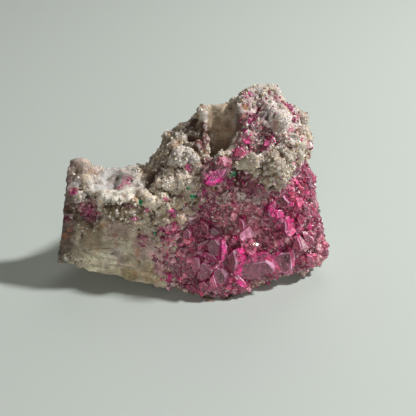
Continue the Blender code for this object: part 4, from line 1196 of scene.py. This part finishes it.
def mark_facets(crystal, radius, dice):
    """Mark the painted line of light round the front face, brightest on its lit side, and tell the dull
    front from the bright rims.
    """
    faces = crystal.data.polygons
    inner = read(crystal.data.vertices, "select", kind=bool)
    places = positions(crystal)
    outline = ~inner & (places[:, 2] > -2 * FACE_SINK * MM)
    painted_lit_side = places @ np.array(PAINTED_LIGHT_SIDE) / np.linalg.norm(places[:, :2], axis=1).clip(1e-9)
    glow = painted_lit_side + np.array([dice.uniform(*RIM_GLOW) for _ in inner])
    # The edge attribute holds the painted highlight round the front face.
    store(crystal, "edge", np.where(outline, glow * min(1.0, radius / FULL_GLOW), 0.0))
    store(crystal, "facet", [dice.uniform(-FACET, FACET) for _ in faces], "FACE")
    store(crystal, "splayed", [1 - smoothstep(*SIDEWAYS, face.normal.z) for face in faces], "FACE")


def stand(crystal, stance, color, dice):
    """Put a crystal in its place and give it its colour and tone."""
    crystal.data.transform(stance)
    corners = len(crystal.data.vertices)
    store(crystal, "tint", np.tile(color, (corners, 1)))
    store(crystal, "tone", np.full(corners, dice.uniform(*LARGE_TONES)))
    return crystal


def make_steps(name, stance, corners, dice):
    """Small crystals that overgrow a large one's rim, part way between its corners."""
    steps = []
    for (x, y), (next_x, next_y) in zip(corners, corners[1:]):
        if dice.random() > STEP_CHANCE:
            continue
        share = dice.random()
        middle = Vector((x + (next_x - x) * share, y + (next_y - y) * share, -dice.uniform(*STEP_SINK)))
        size = radius_of(corners) * dice.uniform(*STEP_SIZE)
        turned = Matrix.Rotation(dice.uniform(0, math.pi), 4, "Z")
        tipped = Matrix.Rotation(dice.gauss(0, STEP_TIP), 4, (dice.random(), dice.random(), 0))
        shape = size, size * dice.uniform(*STEP_HEIGHT), size * STEP_DEPTH
        step = leaning_block(f"{name} step", shape, dice)
        color = dice.choice((MAGENTA, ROSE, CRIMSON, LILAC))
        placed = stance @ Matrix.Translation(middle * STEP_OUT * MM) @ tipped @ turned
        steps.append(stand(step, placed, color, dice))
    return steps


def make_large_crystals(outlined, dice):
    """The named crystals of a crust and the steps on their rims, as one mesh."""
    crystals = []
    for name, (place, way, color, shift, corners) in outlined.items():
        stance = face_frame(facing(*way)).to_4x4()
        stance.translation = at(place)
        crystals.append(stand(grown_crystal(name, corners, shift, dice), stance, color, dice))
        crystals += make_steps(name, stance, corners, dice)
    return join(crystals, "large crystals")


# ---- small crystals ---------------------------------------------------------------------------------

STRETCH = (0.72, 1.3)   # how much a copy may be narrower or longer than its shape
TILT = 0.45             # how far small crystals lean away from straight out
SMALL_FACET = 0.35      # how far their facets' brightness lies from their own
SMALL_RIM = 0.5         # how bright their painted rim highlights are at most
SMALL_SPLAYED = 0.6     # how much they have at most of a splayed side's deeper colour
GROUND_PULL = (0.15, 0.95)  # how far their colour moves towards that of the bed under them
OFF_FLOOR = 0.9         # how high over the floor the crusts' small crystals start
BURIED = 0.1            # how deep in a large crystal a small one is left out

# The colours of small crystals, and how often each comes.
SMALL_TINTS = [(WINE, 0.20), (CRIMSON, 0.16), (MAGENTA, 0.24), (ROSE, 0.14), (MAUVE, 0.04),
 (LILAC, 0.10),
               (PALE, 0.10), (FROST, 0.02)]
SUGAR_TINTS = [(WINE, 0.10), (CRIMSON, 0.16), (MAGENTA, 0.18), (ROSE, 0.18), (LILAC, 0.12), (PALE, 0.18),
               (FROST, 0.08)]
CRUST_TINTS = [(WINE, 0.24), (CRIMSON, 0.26), (MAGENTA, 0.26), (ROSE, 0.14), (LILAC, 0.06), (PALE, 0.04)]
SPARKLE_TINTS = [(FROST, 0.6), (PALE, 0.4)]

# Their shapes: degrees that each leans, whether it stands on its point, and how worn its edges are.
SHAPES = {"block": (12, False, 0.09), "point": (10, True, 0.08), "chip": (14, True, 0)}
MOSTLY_SMALL = 0.6      # below 1, most crystals are near the smallest size
MOSTLY_FRONTS = 0.4     # below 1, most have little of the deeper colour


def grain_shape(name, lean, point_out, worn):
    """One small leaning block of size 1, standing on a face, or on a corner with its point out."""
    shape = add_cube(name, 1)
    edit(shape)
    slant = math.tan(math.radians(lean))
    select_where(shape, lambda corner: corner.y > 0)
    bpy.ops.transform.translate(value=(slant / 2, 0, 0))
    select_where(shape, lambda corner: corner.z > 0)
    bpy.ops.transform.translate(value=(0, -slant / 2, 0))
    if worn:
        bpy.ops.mesh.select_all(action="SELECT")
        bpy.ops.mesh.bevel(offset=worn, segments=1, affect="EDGES")
    bpy.ops.object.mode_set(mode="OBJECT")
    if point_out:
        diagonal = Vector((1, 1, 1)).rotation_difference(Vector((0, 0, 1)))
        shape.data.transform(diagonal.to_matrix().to_4x4())
    return shape


def spots_on(obj, count, weights, numbers):
    """Random places on a mesh of quads, the way out there, and the corners of each one's face."""
    faces = obj.data.polygons
    ways = read(faces, "normal", 3)
    corners = np.array([face.vertices[:] for face in faces])
    chances = read(faces, "area") * weights[corners].mean(axis=1)
    picked = numbers.choice(len(faces), size=count, p=chances / chances.sum())
    shares = numbers.dirichlet(np.ones(corners.shape[1]), size=count)
    places = (positions(obj)[corners[picked]] * shares[:, :, None]).sum(axis=1)
    return places, ways[picked], corners[picked]


def spread_sizes(span, power, count, numbers):
    """Random sizes in metres from a smallest to a largest in millimetres, with more of the small ones."""
    low, high = span
    return (low + (high - low) * (1 - numbers.power(power, count))) * MM


def spread_copies(name, shape, places, outward, sizes, tilt, numbers):
    """Turned and stretched copies of a shape, one at each place, as one mesh."""
    count = len(places)
    base = positions(shape)
    out = unit(outward + numbers.normal(0, tilt, (count, 3)))
    across = unit(np.cross(out, numbers.normal(size=(count, 3))))
    turns = np.stack([across, np.cross(out, across), out], axis=2)
    stretch = sizes[:, None] * numbers.uniform(*STRETCH, (count, 3))
    local = base[None] * stretch[:, None, :]
    corners = places[:, None, :] + np.einsum("nij,nkj->nki", turns, local)
    faces = [face.vertices[:] for face in shape.data.polygons]
    moved = [
        tuple(index + copy * len(base) for index in face)
        for copy in range(count) for face in faces
    ]
    mesh = bpy.data.meshes.new(name)
    mesh.from_pydata(corners.reshape(-1, 3).tolist(), [], moved)
    return object_of(mesh)


def paint_copies(obj, copies, tints, numbers, ground=None):
    """Give each copy in a joined mesh a tone, and a colour that leans towards its ground's."""
    each = len(obj.data.vertices) // copies
    colors, chances = zip(*tints)
    shares = np.array(chances) / sum(chances)
    picked = np.array(colors)[numbers.choice(len(colors), size=copies, p=shares)]
    if ground is not None:
        picked = picked + (ground - picked) * numbers.uniform(*GROUND_PULL, (copies, 1))
    store(obj, "tint", np.repeat(picked, each, axis=0))
    store(obj, "tone", np.repeat(numbers.uniform(size=copies), each))
    # The edge attribute gives each copy a painted rim highlight.
    store(obj, "edge", np.repeat(numbers.uniform(0, SMALL_RIM, size=copies), each))
    store(obj, "facet", numbers.uniform(-SMALL_FACET, SMALL_FACET, len(obj.data.polygons)), "FACE")


def clear_of(tree, places, margin):
    """Which places are not inside a closed mesh, deeper than the margin."""
    keep = []
    for place in places:
        near, way, _, distance = tree.find_nearest(Vector(place))
        inside = (Vector(place) - near).dot(way) < 0
        keep.append(not (inside and distance > margin))
    return np.array(keep)


def small_crystals_on(bed, name, shape, count, span, weights, tints, numbers, solid=None):
    """Small crystals of one shape over a bed, where no large crystal stands."""
    places, outward, corners = spots_on(bed, count, weights, numbers)
    keep = places[:, 2] > OFF_FLOOR * MM
    if solid:
        keep &= clear_of(solid, places, BURIED * MM)
    places, outward, corners = places[keep], outward[keep], corners[keep]
    sizes = spread_sizes(span, MOSTLY_SMALL, len(places), numbers)
    small = spread_copies(name, shape, places, outward, sizes, TILT, numbers)
    paint_copies(small, len(places), tints, numbers, color_of(bed, "tint")[corners[:, 0]])
    splayed = numbers.power(MOSTLY_FRONTS, len(places)) * SMALL_SPLAYED
    store(small, "splayed", np.repeat(splayed, len(shape.data.polygons)), "FACE")
    return small


# ---- crusts -----------------------------------------------------------------------------------------

BORDER = 1.2            # how near to the rock a crust's bed swells to meet it
SWELL = 0.38            # by how much
MELT = 0.35             # by how much it sinks elsewhere, so that the crystals stand clear of it
BED_LUMPS = (1.5, 0.45)     # the size and the height of the bed's lumps
BED_SUGAR = (0.7, 0.30)     # and of its grains
CELL_LEVEL = 0.42       # the distance from a lump's middle that stays level, in sizes
BED_SMOOTHING = 14
WALL_SKIN = 0.36        # size of the faces of the wall's bed
CRUST_SKIN = 0.26       # and of the small crusts' beds

# The colours of the crusts' beds: middle, radius, colour and strength.
USUAL_TONE = (0.34, 0.035, 0.09)
# Painted shade for the beds at the rock's left end, which faces away from the light.
SHADED_END_ROCK = (0.20, 0.15, 0.125)
TONES = [
    # Pale sugar, brightened further as painted light where the head's overhang shades it.
    ((8, -10, 20), 9.5, (1.00, 0.42, 0.48), 0.95),
    ((12, -10, 13), 5.0, (0.95, 0.26, 0.38), 0.8),
    ((2.5, -8.6, 23.4), 4.0, (1.00, 0.52, 0.52), 0.9),
    ((8.5, -9.4, 23.8), 3.4, (1.00, 0.50, 0.52), 0.9),
    # Deep wine gaps between the large crystals, darkened further as painted shade.
    ((6.6, -12.2, 14.4), 1.3, (0.16, 0.01, 0.03), 0.9),
    ((15.8, -10.6, 14.6), 1.5, (0.14, 0.01, 0.03), 0.9),
    ((17.6, -10.6, 11.6), 1.6, (0.20, 0.01, 0.05), 0.9),
    ((5.4, -13.6, 12.4), 1.4, (0.26, 0.02, 0.06), 0.8),
    ((-2.0, -13.6, 9.4), 1.3, (0.16, 0.01, 0.03), 0.9),
    ((-3.6, -13.4, 9.0), 2.6, (0.62, 0.03, 0.17), 0.7),
    ((14.5, -9.0, 19.4), 3.4, (0.60, 0.04, 0.22), 0.9),
    ((20.5, -5.0, 20), 7.5, (0.44, 0.06, 0.12), 0.95),
    ((24.5, -7, 8), 5.5, (0.60, 0.22, 0.24), 0.9),
    ((2, -13, 9), 8.0, (0.34, 0.008, 0.075), 0.95),
    ((-5.5, -12.4, 8), 4.5, (0.85, 0.36, 0.42), 0.95),
    ((-5.0, -12.0, 14), 3.0, (0.70, 0.20, 0.28), 0.9),
    ((1.5, -15, 2.6), 3.6, (0.52, 0.30, 0.36), 0.9),
    ((12, -13, 0.8), 4.2, (0.84, 0.64, 0.54), 0.95),
    ((19, -11, 0.8), 4.6, (0.86, 0.66, 0.54), 0.95),
    ((25, -7, 3.0), 3.6, (0.58, 0.34, 0.28), 0.8),
    # ledge and pockets
    ((1.9, -8.6, 29.8), 5.0, (0.66, 0.55, 0.50), 1.0),
    ((1.8, -9.9, 28.7), 2.3, (0.80, 0.04, 0.34), 1.0),
    ((-0.8, -8.0, 27.6), 1.8, (0.34, 0.03, 0.10), 0.9),
    ((7.0, -6.9, 33.1), 3.6, (0.68, 0.58, 0.54), 1.0),
    ((6.3, -7.4, 33.5), 1.4, (0.40, 0.01, 0.09), 1.0),
    ((8.3, -5.2, 34.8), 0.9, (0.60, 0.10, 0.22), 0.9),
    ((5.8, -8.8, 31.9), 0.8, (0.58, 0.08, 0.18), 0.9),
    ((10.7, -5.2, 34.6), 3.6, (0.68, 0.59, 0.56), 1.0),
    ((12.5, -5.6, 35.4), 0.9, (0.14, 0.02, 0.05), 0.9),
    ((12.4, -5.8, 33.6), 1.3, (0.56, 0.08, 0.22), 0.9),
    ((9.6, -6.2, 33.4), 1.2, (0.48, 0.22, 0.24), 0.9),
    ((-7.4, -11.6, 15.7), 3.8, (0.58, 0.34, 0.32), 1.0),
    ((-7.6, -13, 17.0), 2.0, (0.56, 0.03, 0.13), 1.0),
    # left block
    ((-26, -8, 19), 6.5, (0.50, 0.40, 0.33), 1.0),
    ((-29, -8, 17), 3.4, SHADED_END_ROCK, 1.0),
    ((-31.6, -4.7, 18), 4.5, SHADED_END_ROCK, 1.0),
    ((-26.0, -9.0, 17.4), 1.5, (0.20, 0.07, 0.07), 1.0),
    ((-26.1, -8.9, 19.3), 1.3, (0.34, 0.02, 0.12), 1.0),
    ((-30.2, -6.6, 19.0), 1.4, (0.20, 0.03, 0.07), 0.9),
]

# Where the wall is fine sugar, with no crystals of any size in it: middle, radius and share.
FINE_SUGAR = [
    ((8, -10, 20.5), 8.5, 1.0),
    ((2, -9, 23), 5.0, 1.0),
    ((11.5, -11.5, 12), 4.0, 0.7),
    ((26.0, -1.0, 20), 4.8, 0.9),
    ((28.0, -3.0, 11), 4.0, 0.8),
]

# Where large crystals crowd, with little sugar between them: middle, radius and share.
CROWDED = [
    ((2.5, -14.0, 10.0), 5.5, 0.75),
    ((0.5, -14.5, 6.0), 4.0, 0.5),
    ((10.5, -14.5, 6.5), 5.0, 0.5),
]

# Where the wall's foot is bare: middle, radius and share.
BARE_FOOT = [
    ((11, -13.5, 0.2), 3.6, 1.0),
    ((15, -12.5, 0.2), 4.2, 1.0),
    ((19, -11, 0.2), 4.2, 1.0),
    ((23, -9, 0.2), 3.4, 1.0),
]

# The wall's small crystals: how many, their smallest and their largest size.
BLOCKS = 330, (0.5, 1.3)
POINTS = 600, (0.3, 1.0)
CHIPS = 8500, (0.15, 0.40)
MOST_BARE = 0.95        # the share of small crystals that a bare foot lacks
MOST_FINE = 0.92        # the share of the larger ones that fine sugar lacks
MOST_CROWDED = 0.8      # the share of the sugar that crowded places lack

GLINT = facing(41, 51)  # the way of a face that mirrors the key light towards the camera
SPARKLES = 400
SPARKLE_SIZE = (0.20, 0.42)
SPARKLE_RISE = 0.25
SPARKLE_TILT = 0.03
SPARKLES_IN_CRYSTALS = 0.2  # how thick the sparkles are among the large crystals, against in sugar

# Clear calcite on the wall: the place, the way it looks (turn and tilt) and the size.
CLEAR_LUMPS = [
    ((4.0, -8.6, 23.2), (10, 30), 2.2),
    ((2.6, -8.4, 22.0), (-10, 40), 1.7),
    ((6.9, -10.1, 24.4), (0, 20), 2.2),
    ((8.6, -9.8, 23.2), (20, 30), 1.8),
    ((10.3, -8.8, 22.4), (10, 30), 2.0),
    ((12.2, -9.4, 23.6), (30, 20), 1.5),
    ((10.0, -12.4, 13.4), (41, 51), 0.8),
    ((10.8, -12.4, 13.0), (39, 53), 0.7),
]
CLEAR_RISE = 0.3        # how far a lump stands out of its place, as a share of its size
CLEAR_HEIGHT = 0.9      # its height, as a share of its width
CLEAR_ROLL = 40         # degrees that it is rolled at most

# The small crusts: the node, the crystals' count, their smallest and largest size, and how far the
# crust is set back into its pocket.
SMALL_CRUSTS = {
    "head_crystals": (80, (0.25, 0.6), (0.0, 0.7, -0.5)),
    "pocket_crystals": (80, (0.25, 0.7), (0.0, 0.4, -0.2)),
    "ledge_crystals": (170, (0.3, 1.0), (0.0, 0.0, 0.0)),
    "tan_ledge_crystals": (90, (0.4, 1.2), (0.0, 0.5, 0.0)),
    "left_face_crystals": (90, (0.3, 0.8), (0.5, 1.4, 0.0)),
    "left_end_crystals": (60, (0.2, 0.5), (3.6, 1.2, 0.0)),
}

FULL_RED = 3            # what makes 1 of the difference between a magenta colour's red and green
IN_GREY = 0.04          # the least redness


def make_bed(node, name, face_size, shift=(0, 0, 0)):
    """The crust's bed: the solid's form, melted down between its crystals, and grainy."""
    bed = reskinned(node, name, face_size, BED_SMOOTHING)
    points = design_points(bed)
    swollen = SWELL - (SWELL + MELT) * smoothstep(GAP, BORDER, from_node(positions(bed), "matrix"))
    lumps = (CELL_LEVEL - cells(points, BED_LUMPS[0], seed=12)) * BED_LUMPS[1]
    sugar = (CELL_LEVEL - cells(points, BED_SUGAR[0], seed=13)) * BED_SUGAR[1]
    moved = (swollen + lumps + sugar) * smoothstep(0.0, 0.8, points[:, 2])
    set_positions(bed, positions(bed) + normals(bed) * (moved * MM)[:, None])
    bed.data.transform(Matrix.Translation(Vector(shift) * MM))
    store(bed, "hollow", hollowness(bed))
    store(bed, "tint", patched(points, TONES, USUAL_TONE))
    return bed


def finish_crust(pieces, name, node, finishes):
    """Join a crust's bed and crystals into one piece that stands for its solid."""
    sugar, calcite = finishes
    bed, *crystals = pieces
    select_only(bed)
    bpy.ops.object.shade_smooth()
    bed.data.materials.append(sugar)
    for crystal in crystals:
        crystal.data.materials.append(calcite)
    fit(join(pieces, name), node)


def make_sparkles(bed, shape, weights, numbers):
    """Tiny crystals whose faces catch the light."""
    places, outward, _ = spots_on(bed, SPARKLES, weights, numbers)
    sizes = numbers.uniform(*SPARKLE_SIZE, SPARKLES) * MM
    places += outward * SPARKLE_RISE * MM
    keep = places[:, 2] > OFF_FLOOR * MM
    ways = np.tile(GLINT, (keep.sum(), 1))
    sparkles = spread_copies("sparkles", shape, places[keep], ways, sizes[keep], SPARKLE_TILT, numbers)
    paint_copies(sparkles, keep.sum(), SPARKLE_TINTS, numbers)
    return sparkles


def make_wall(block, point, chip, finishes, dice, numbers):
    """The big crust: its bed, its named large crystals, and small crystals and sugar between them."""
    bed = make_bed("crystal_wall", "wall bed", WALL_SKIN)
    large = make_large_crystals(LARGE_CRYSTALS, dice)
    solid = tree_of(large)
    points = design_points(bed)
    open_share = smoothstep(-0.1, 0.3, normals(bed) @ SEEN_FROM)
    everywhere = open_share * (1 - MOST_BARE * np.minimum(added(points, BARE_FOOT), 1))
    in_sugar = np.minimum(added(points, FINE_SUGAR), 1)
    coarse = everywhere * (1 - MOST_FINE * in_sugar)
    fine = everywhere * (1 - np.minimum(added(points, CROWDED), MOST_CROWDED))
    pieces = [
        bed,
        large,
        make_sparkles(bed, block, everywhere * (SPARKLES_IN_CRYSTALS + in_sugar), numbers),
        small_crystals_on(bed, "blocks", block, *BLOCKS, coarse, SMALL_TINTS, numbers, solid),
        small_crystals_on(bed, "points", point, *POINTS, coarse, SMALL_TINTS, numbers, solid),
    ]
    sugar = small_crystals_on(bed, "wall_sugar", chip, *CHIPS, fine, SUGAR_TINTS, numbers, solid)
    sugar.data.materials.append(finishes[1])
    fit(sugar, "crystal_wall")
    finish_crust(pieces, "magenta_crystal_wall", "crystal_wall", finishes)


def make_clear_lumps(dice):
    """Clear lumps on the wall, as one piece."""
    lumps = []
    for place, way, size in CLEAR_LUMPS:
        lump = leaning_block("clear lump", (size, size * CLEAR_HEIGHT, size), dice)
        stance = face_frame(facing(*way), dice.uniform(-CLEAR_ROLL, CLEAR_ROLL)).to_4x4()
        stance.translation = at(place) + facing(*way) * size * CLEAR_RISE * MM
        lumps.append(stand(lump, stance, PALE, dice))
    clear = join(lumps, "clear_calcite")
    clear.data.materials.append(clear_finish())
    fit(clear, "crystal_wall")


def redness(colors):
    """How magenta colours are, from a little for grey up to 1."""
    return np.clip((colors[:, 0] - colors[:, 1]) * FULL_RED, IN_GREY, 1.0) ** 2


def make_small_crust(node, settings, shapes, finishes, dice, numbers):
    """A patch of crystals in the rock: its bed, any named crystals, and small ones where it is red."""
    count, span, shift = settings
    bed = make_bed(node, f"{node} bed", CRUST_SKIN, shift)
    weights = redness(color_of(bed, "tint"))
    pieces = [bed]
    if node in CRUST_CRYSTALS:
        pieces.append(make_large_crystals(CRUST_CRYSTALS[node], dice))
    for shape, share in shapes:
        pieces.append(small_crystals_on(bed, shape.name, shape, int(count * share), span, weights,
                                        CRUST_TINTS, numbers))
    finish_crust(pieces, f"magenta_{node}", node, finishes)


# ---- loose grains -----------------------------------------------------------------------------------

PALE_TINTS = [((0.88, 0.83, 0.76), 0.42), ((0.76, 0.66, 0.51), 0.30), ((0.54, 0.41, 0.26), 0.12),
              ((0.80, 0.74, 0.73), 0.12), ((0.26, 0.19, 0.14), 0.04)]
PINK_TINTS = [(WINE, 0.22), (MAGENTA, 0.34), (ROSE, 0.26), (LILAC, 0.14), (PALE, 0.04)]
FRINGE_TINTS = [(ROSE, 0.12), (MAGENTA, 0.05), (MAUVE, 0.06), (PALE, 0.30),
                ((0.70, 0.56, 0.46), 0.22), ((0.74, 0.42, 0.45), 0.25)]
GREEN_TINTS = [((0.06, 0.42, 0.21), 0.5), ((0.12, 0.58, 0.34), 0.3), ((0.01, 0.12, 0.08), 0.2)]

# Specks of malachite: the place and how far its grains lie around it.
MALACHITE = [
    ((-3.2, -8.1, 23.0), 0.8),
    ((-1.8, -9.4, 19.4), 0.7),
    ((5.4, -8.0, 28.6), 0.7),
    ((-14.2, -9.1, 22.1), 0.5),
    ((-11.3, -11.2, 15.6), 0.4),
    ((-8.0, -2.5, 29.9), 0.4),
    ((-3.9, -8.2, 25.4), 0.4),
]

# The loose grains: how many, their smallest and their largest size.
PINK_GRAINS = 1300, (0.16, 0.50)
FRINGE_GRAINS = 1700, (0.25, 0.85)
PALE_GRAINS = 5500, (0.16, 0.42)
MALACHITE_GRAINS = 150, (0.14, 0.32)
MOSTLY_TINY = 0.5       # below 1, most grains are near the smallest size
CLUMP_SIZE = 2.2        # the magenta grains come in clumps of this size
BETWEEN_CLUMPS = 0.05   # the share of pink grains between the clumps
FRINGE_BETWEEN = 0.25   # and of the fringe's grains
LIGHT_ROCK = (0.15, 0.45)   # how bright rock is where few and where all pale grains grow
AT_BACK = 0.25          # the share of pale grains on the back
GRAINS_OFF_FLOOR = 0.7  # how high over the floor the grains start


def make_grains(name, rock, shape, count, span, weights, tints, finish, slot, numbers):
    """Small grains that grow on the rock, thickest where the weights are high."""
    places, outward, _ = spots_on(rock, count, weights, numbers)
    keep = places[:, 2] > GRAINS_OFF_FLOOR * MM
    sizes = spread_sizes(span, MOSTLY_TINY, keep.sum(), numbers)
    grains = spread_copies(name, shape, places[keep], outward[keep], sizes, TILT, numbers)
    paint_copies(grains, keep.sum(), tints, numbers)
    grains.data.materials.append(finish)
    fit(grains, "matrix")


def make_loose_grains(rock, chip, calcite, numbers):
    """Everything that dusts the rock: magenta and pale grains, the wall's fringe, and malachite."""
    points = design_points(rock)
    clumps = smoothstep(-0.1, 0.5, grain(points, CLUMP_SIZE, 2, seed=21))
    light_rock = smoothstep(*LIGHT_ROCK, color_of(rock, "stain_and_painted_light").mean(axis=1))
    front = AT_BACK + smoothstep(-0.4, 0.2, normals(rock) @ SEEN_FROM)
    green = sum(np.clip(1 - np.linalg.norm(points - np.array(place), axis=1) / reach, 0, 1)
                for place, reach in MALACHITE)
    make_grains("pink_grains", rock, chip, *PINK_GRAINS,
                field_of(rock, "dust") ** 3 * (clumps + BETWEEN_CLUMPS),
                PINK_TINTS, calcite, "magenta_crystal", numbers)
    make_grains("fringe_grains", rock, chip, *FRINGE_GRAINS,
                field_of(rock, "fringe") * (clumps + FRINGE_BETWEEN) * light_rock,
                FRINGE_TINTS, calcite, "magenta_crystal", numbers)
    make_grains("pale_grains", rock, chip, *PALE_GRAINS,
                field_of(rock, "crumb") ** 2 * light_rock * front,
                PALE_TINTS, grain_finish("pale_grain", 0.4), "host_rock", numbers)
    make_grains("malachite_specks", rock, chip, *MALACHITE_GRAINS, green ** 2 + 1e-9,
                GREEN_TINTS, grain_finish("malachite", 0.3), "host_rock", numbers)


# ---- the stage --------------------------------------------------------------------------------------

CAMERA_PLACE = (0.16, -146.31, 116.64)
CAMERA_DOWN = 35        # degrees that the camera looks down
CAMERA_WIDE = 30        # degrees across its view
CAMERA_NEAR = 5         # nothing nearer to it is seen
LIT_PLACE = (0, 0, 15)  # where the lights point

# The lights: turn, tilt, distance, size, power and colour.
LIGHTS = {
    "key": (93, 47, 600, 50, 3.5, (1.0, 0.985, 0.955)),
    "front_fill": (5, 26, 500, 350, 0.50, (1.0, 0.95, 0.87)),
    "back_fill": (165, 50, 500, 350, 0.40, (1.0, 0.95, 0.87)),
}
AROUND = (1.0, 0.95, 0.86)
AROUND_POWER = 0.065
FLOOR_SIZE = 3000
FLOOR_COLOR = (0.575, 0.64, 0.615)


def add_to_scene(name, data):
    obj = bpy.data.objects.new(name, data)
    bpy.context.scene.collection.objects.link(obj)
    return obj


def make_camera():
    data = bpy.data.cameras.new("camera")
    data.angle = math.radians(CAMERA_WIDE)
    data.clip_start = CAMERA_NEAR * MM
    camera = add_to_scene("camera", data)
    camera.location = at(CAMERA_PLACE)
    camera.rotation_euler = (math.radians(90 - CAMERA_DOWN), 0, 0)
    bpy.context.scene.camera = camera


def make_light():
    for name, (turn, tilt, away, size, power, color) in LIGHTS.items():
        data = bpy.data.lights.new(name, "AREA")
        data.shape = "DISK"
        data.size = size * MM
        data.energy = power
        data.color = color
        light = add_to_scene(name, data)
        back = facing(turn, tilt)
        light.location = at(LIT_PLACE) + back * away * MM
        light.rotation_euler = back.to_track_quat("Z", "Y").to_euler()
    world = bpy.data.worlds.new("studio")
    bpy.context.scene.world = world
    world.use_nodes = True
    background = world.node_tree.nodes["Background"]
    background.inputs["Color"].default_value = (*AROUND, 1)
    background.inputs["Strength"].default_value = AROUND_POWER
    bpy.context.scene.view_settings.view_transform = "Standard"


def make_floor():
    deselect_all()
    bpy.ops.mesh.primitive_plane_add(size=FLOOR_SIZE * MM, location=(0, 0, 0))
    floor = bpy.context.active_object
    floor.name = "floor"
    finish = Finish("pale_floor")
    finish.set(Base_Color=FLOOR_COLOR, Roughness=0.75, Specular_IOR_Level=0.25)
    floor.data.materials.append(finish.material)


def main():
    """Build the specimen and its stage. Random draws come in this order."""
    dice = random.Random(SEED)
    numbers = np.random.default_rng(SEED)
    make_camera()
    make_light()
    make_floor()
    rock = make_rock()
    block, point, chip = (grain_shape(name, *shape) for name, shape in SHAPES.items())
    finishes = sugar_finish(), crystal_finish()
    make_wall(block, point, chip, finishes, dice, numbers)
    make_clear_lumps(dice)
    shares = (block, 0.3), (point, 0.3), (chip, 1.0)
    for node, settings in SMALL_CRUSTS.items():
        make_small_crust(node, settings, shares, finishes, dice, numbers)
    make_loose_grains(rock, chip, finishes[1], numbers)
    for shape in (block, point, chip):
        bpy.data.objects.remove(shape)


main()
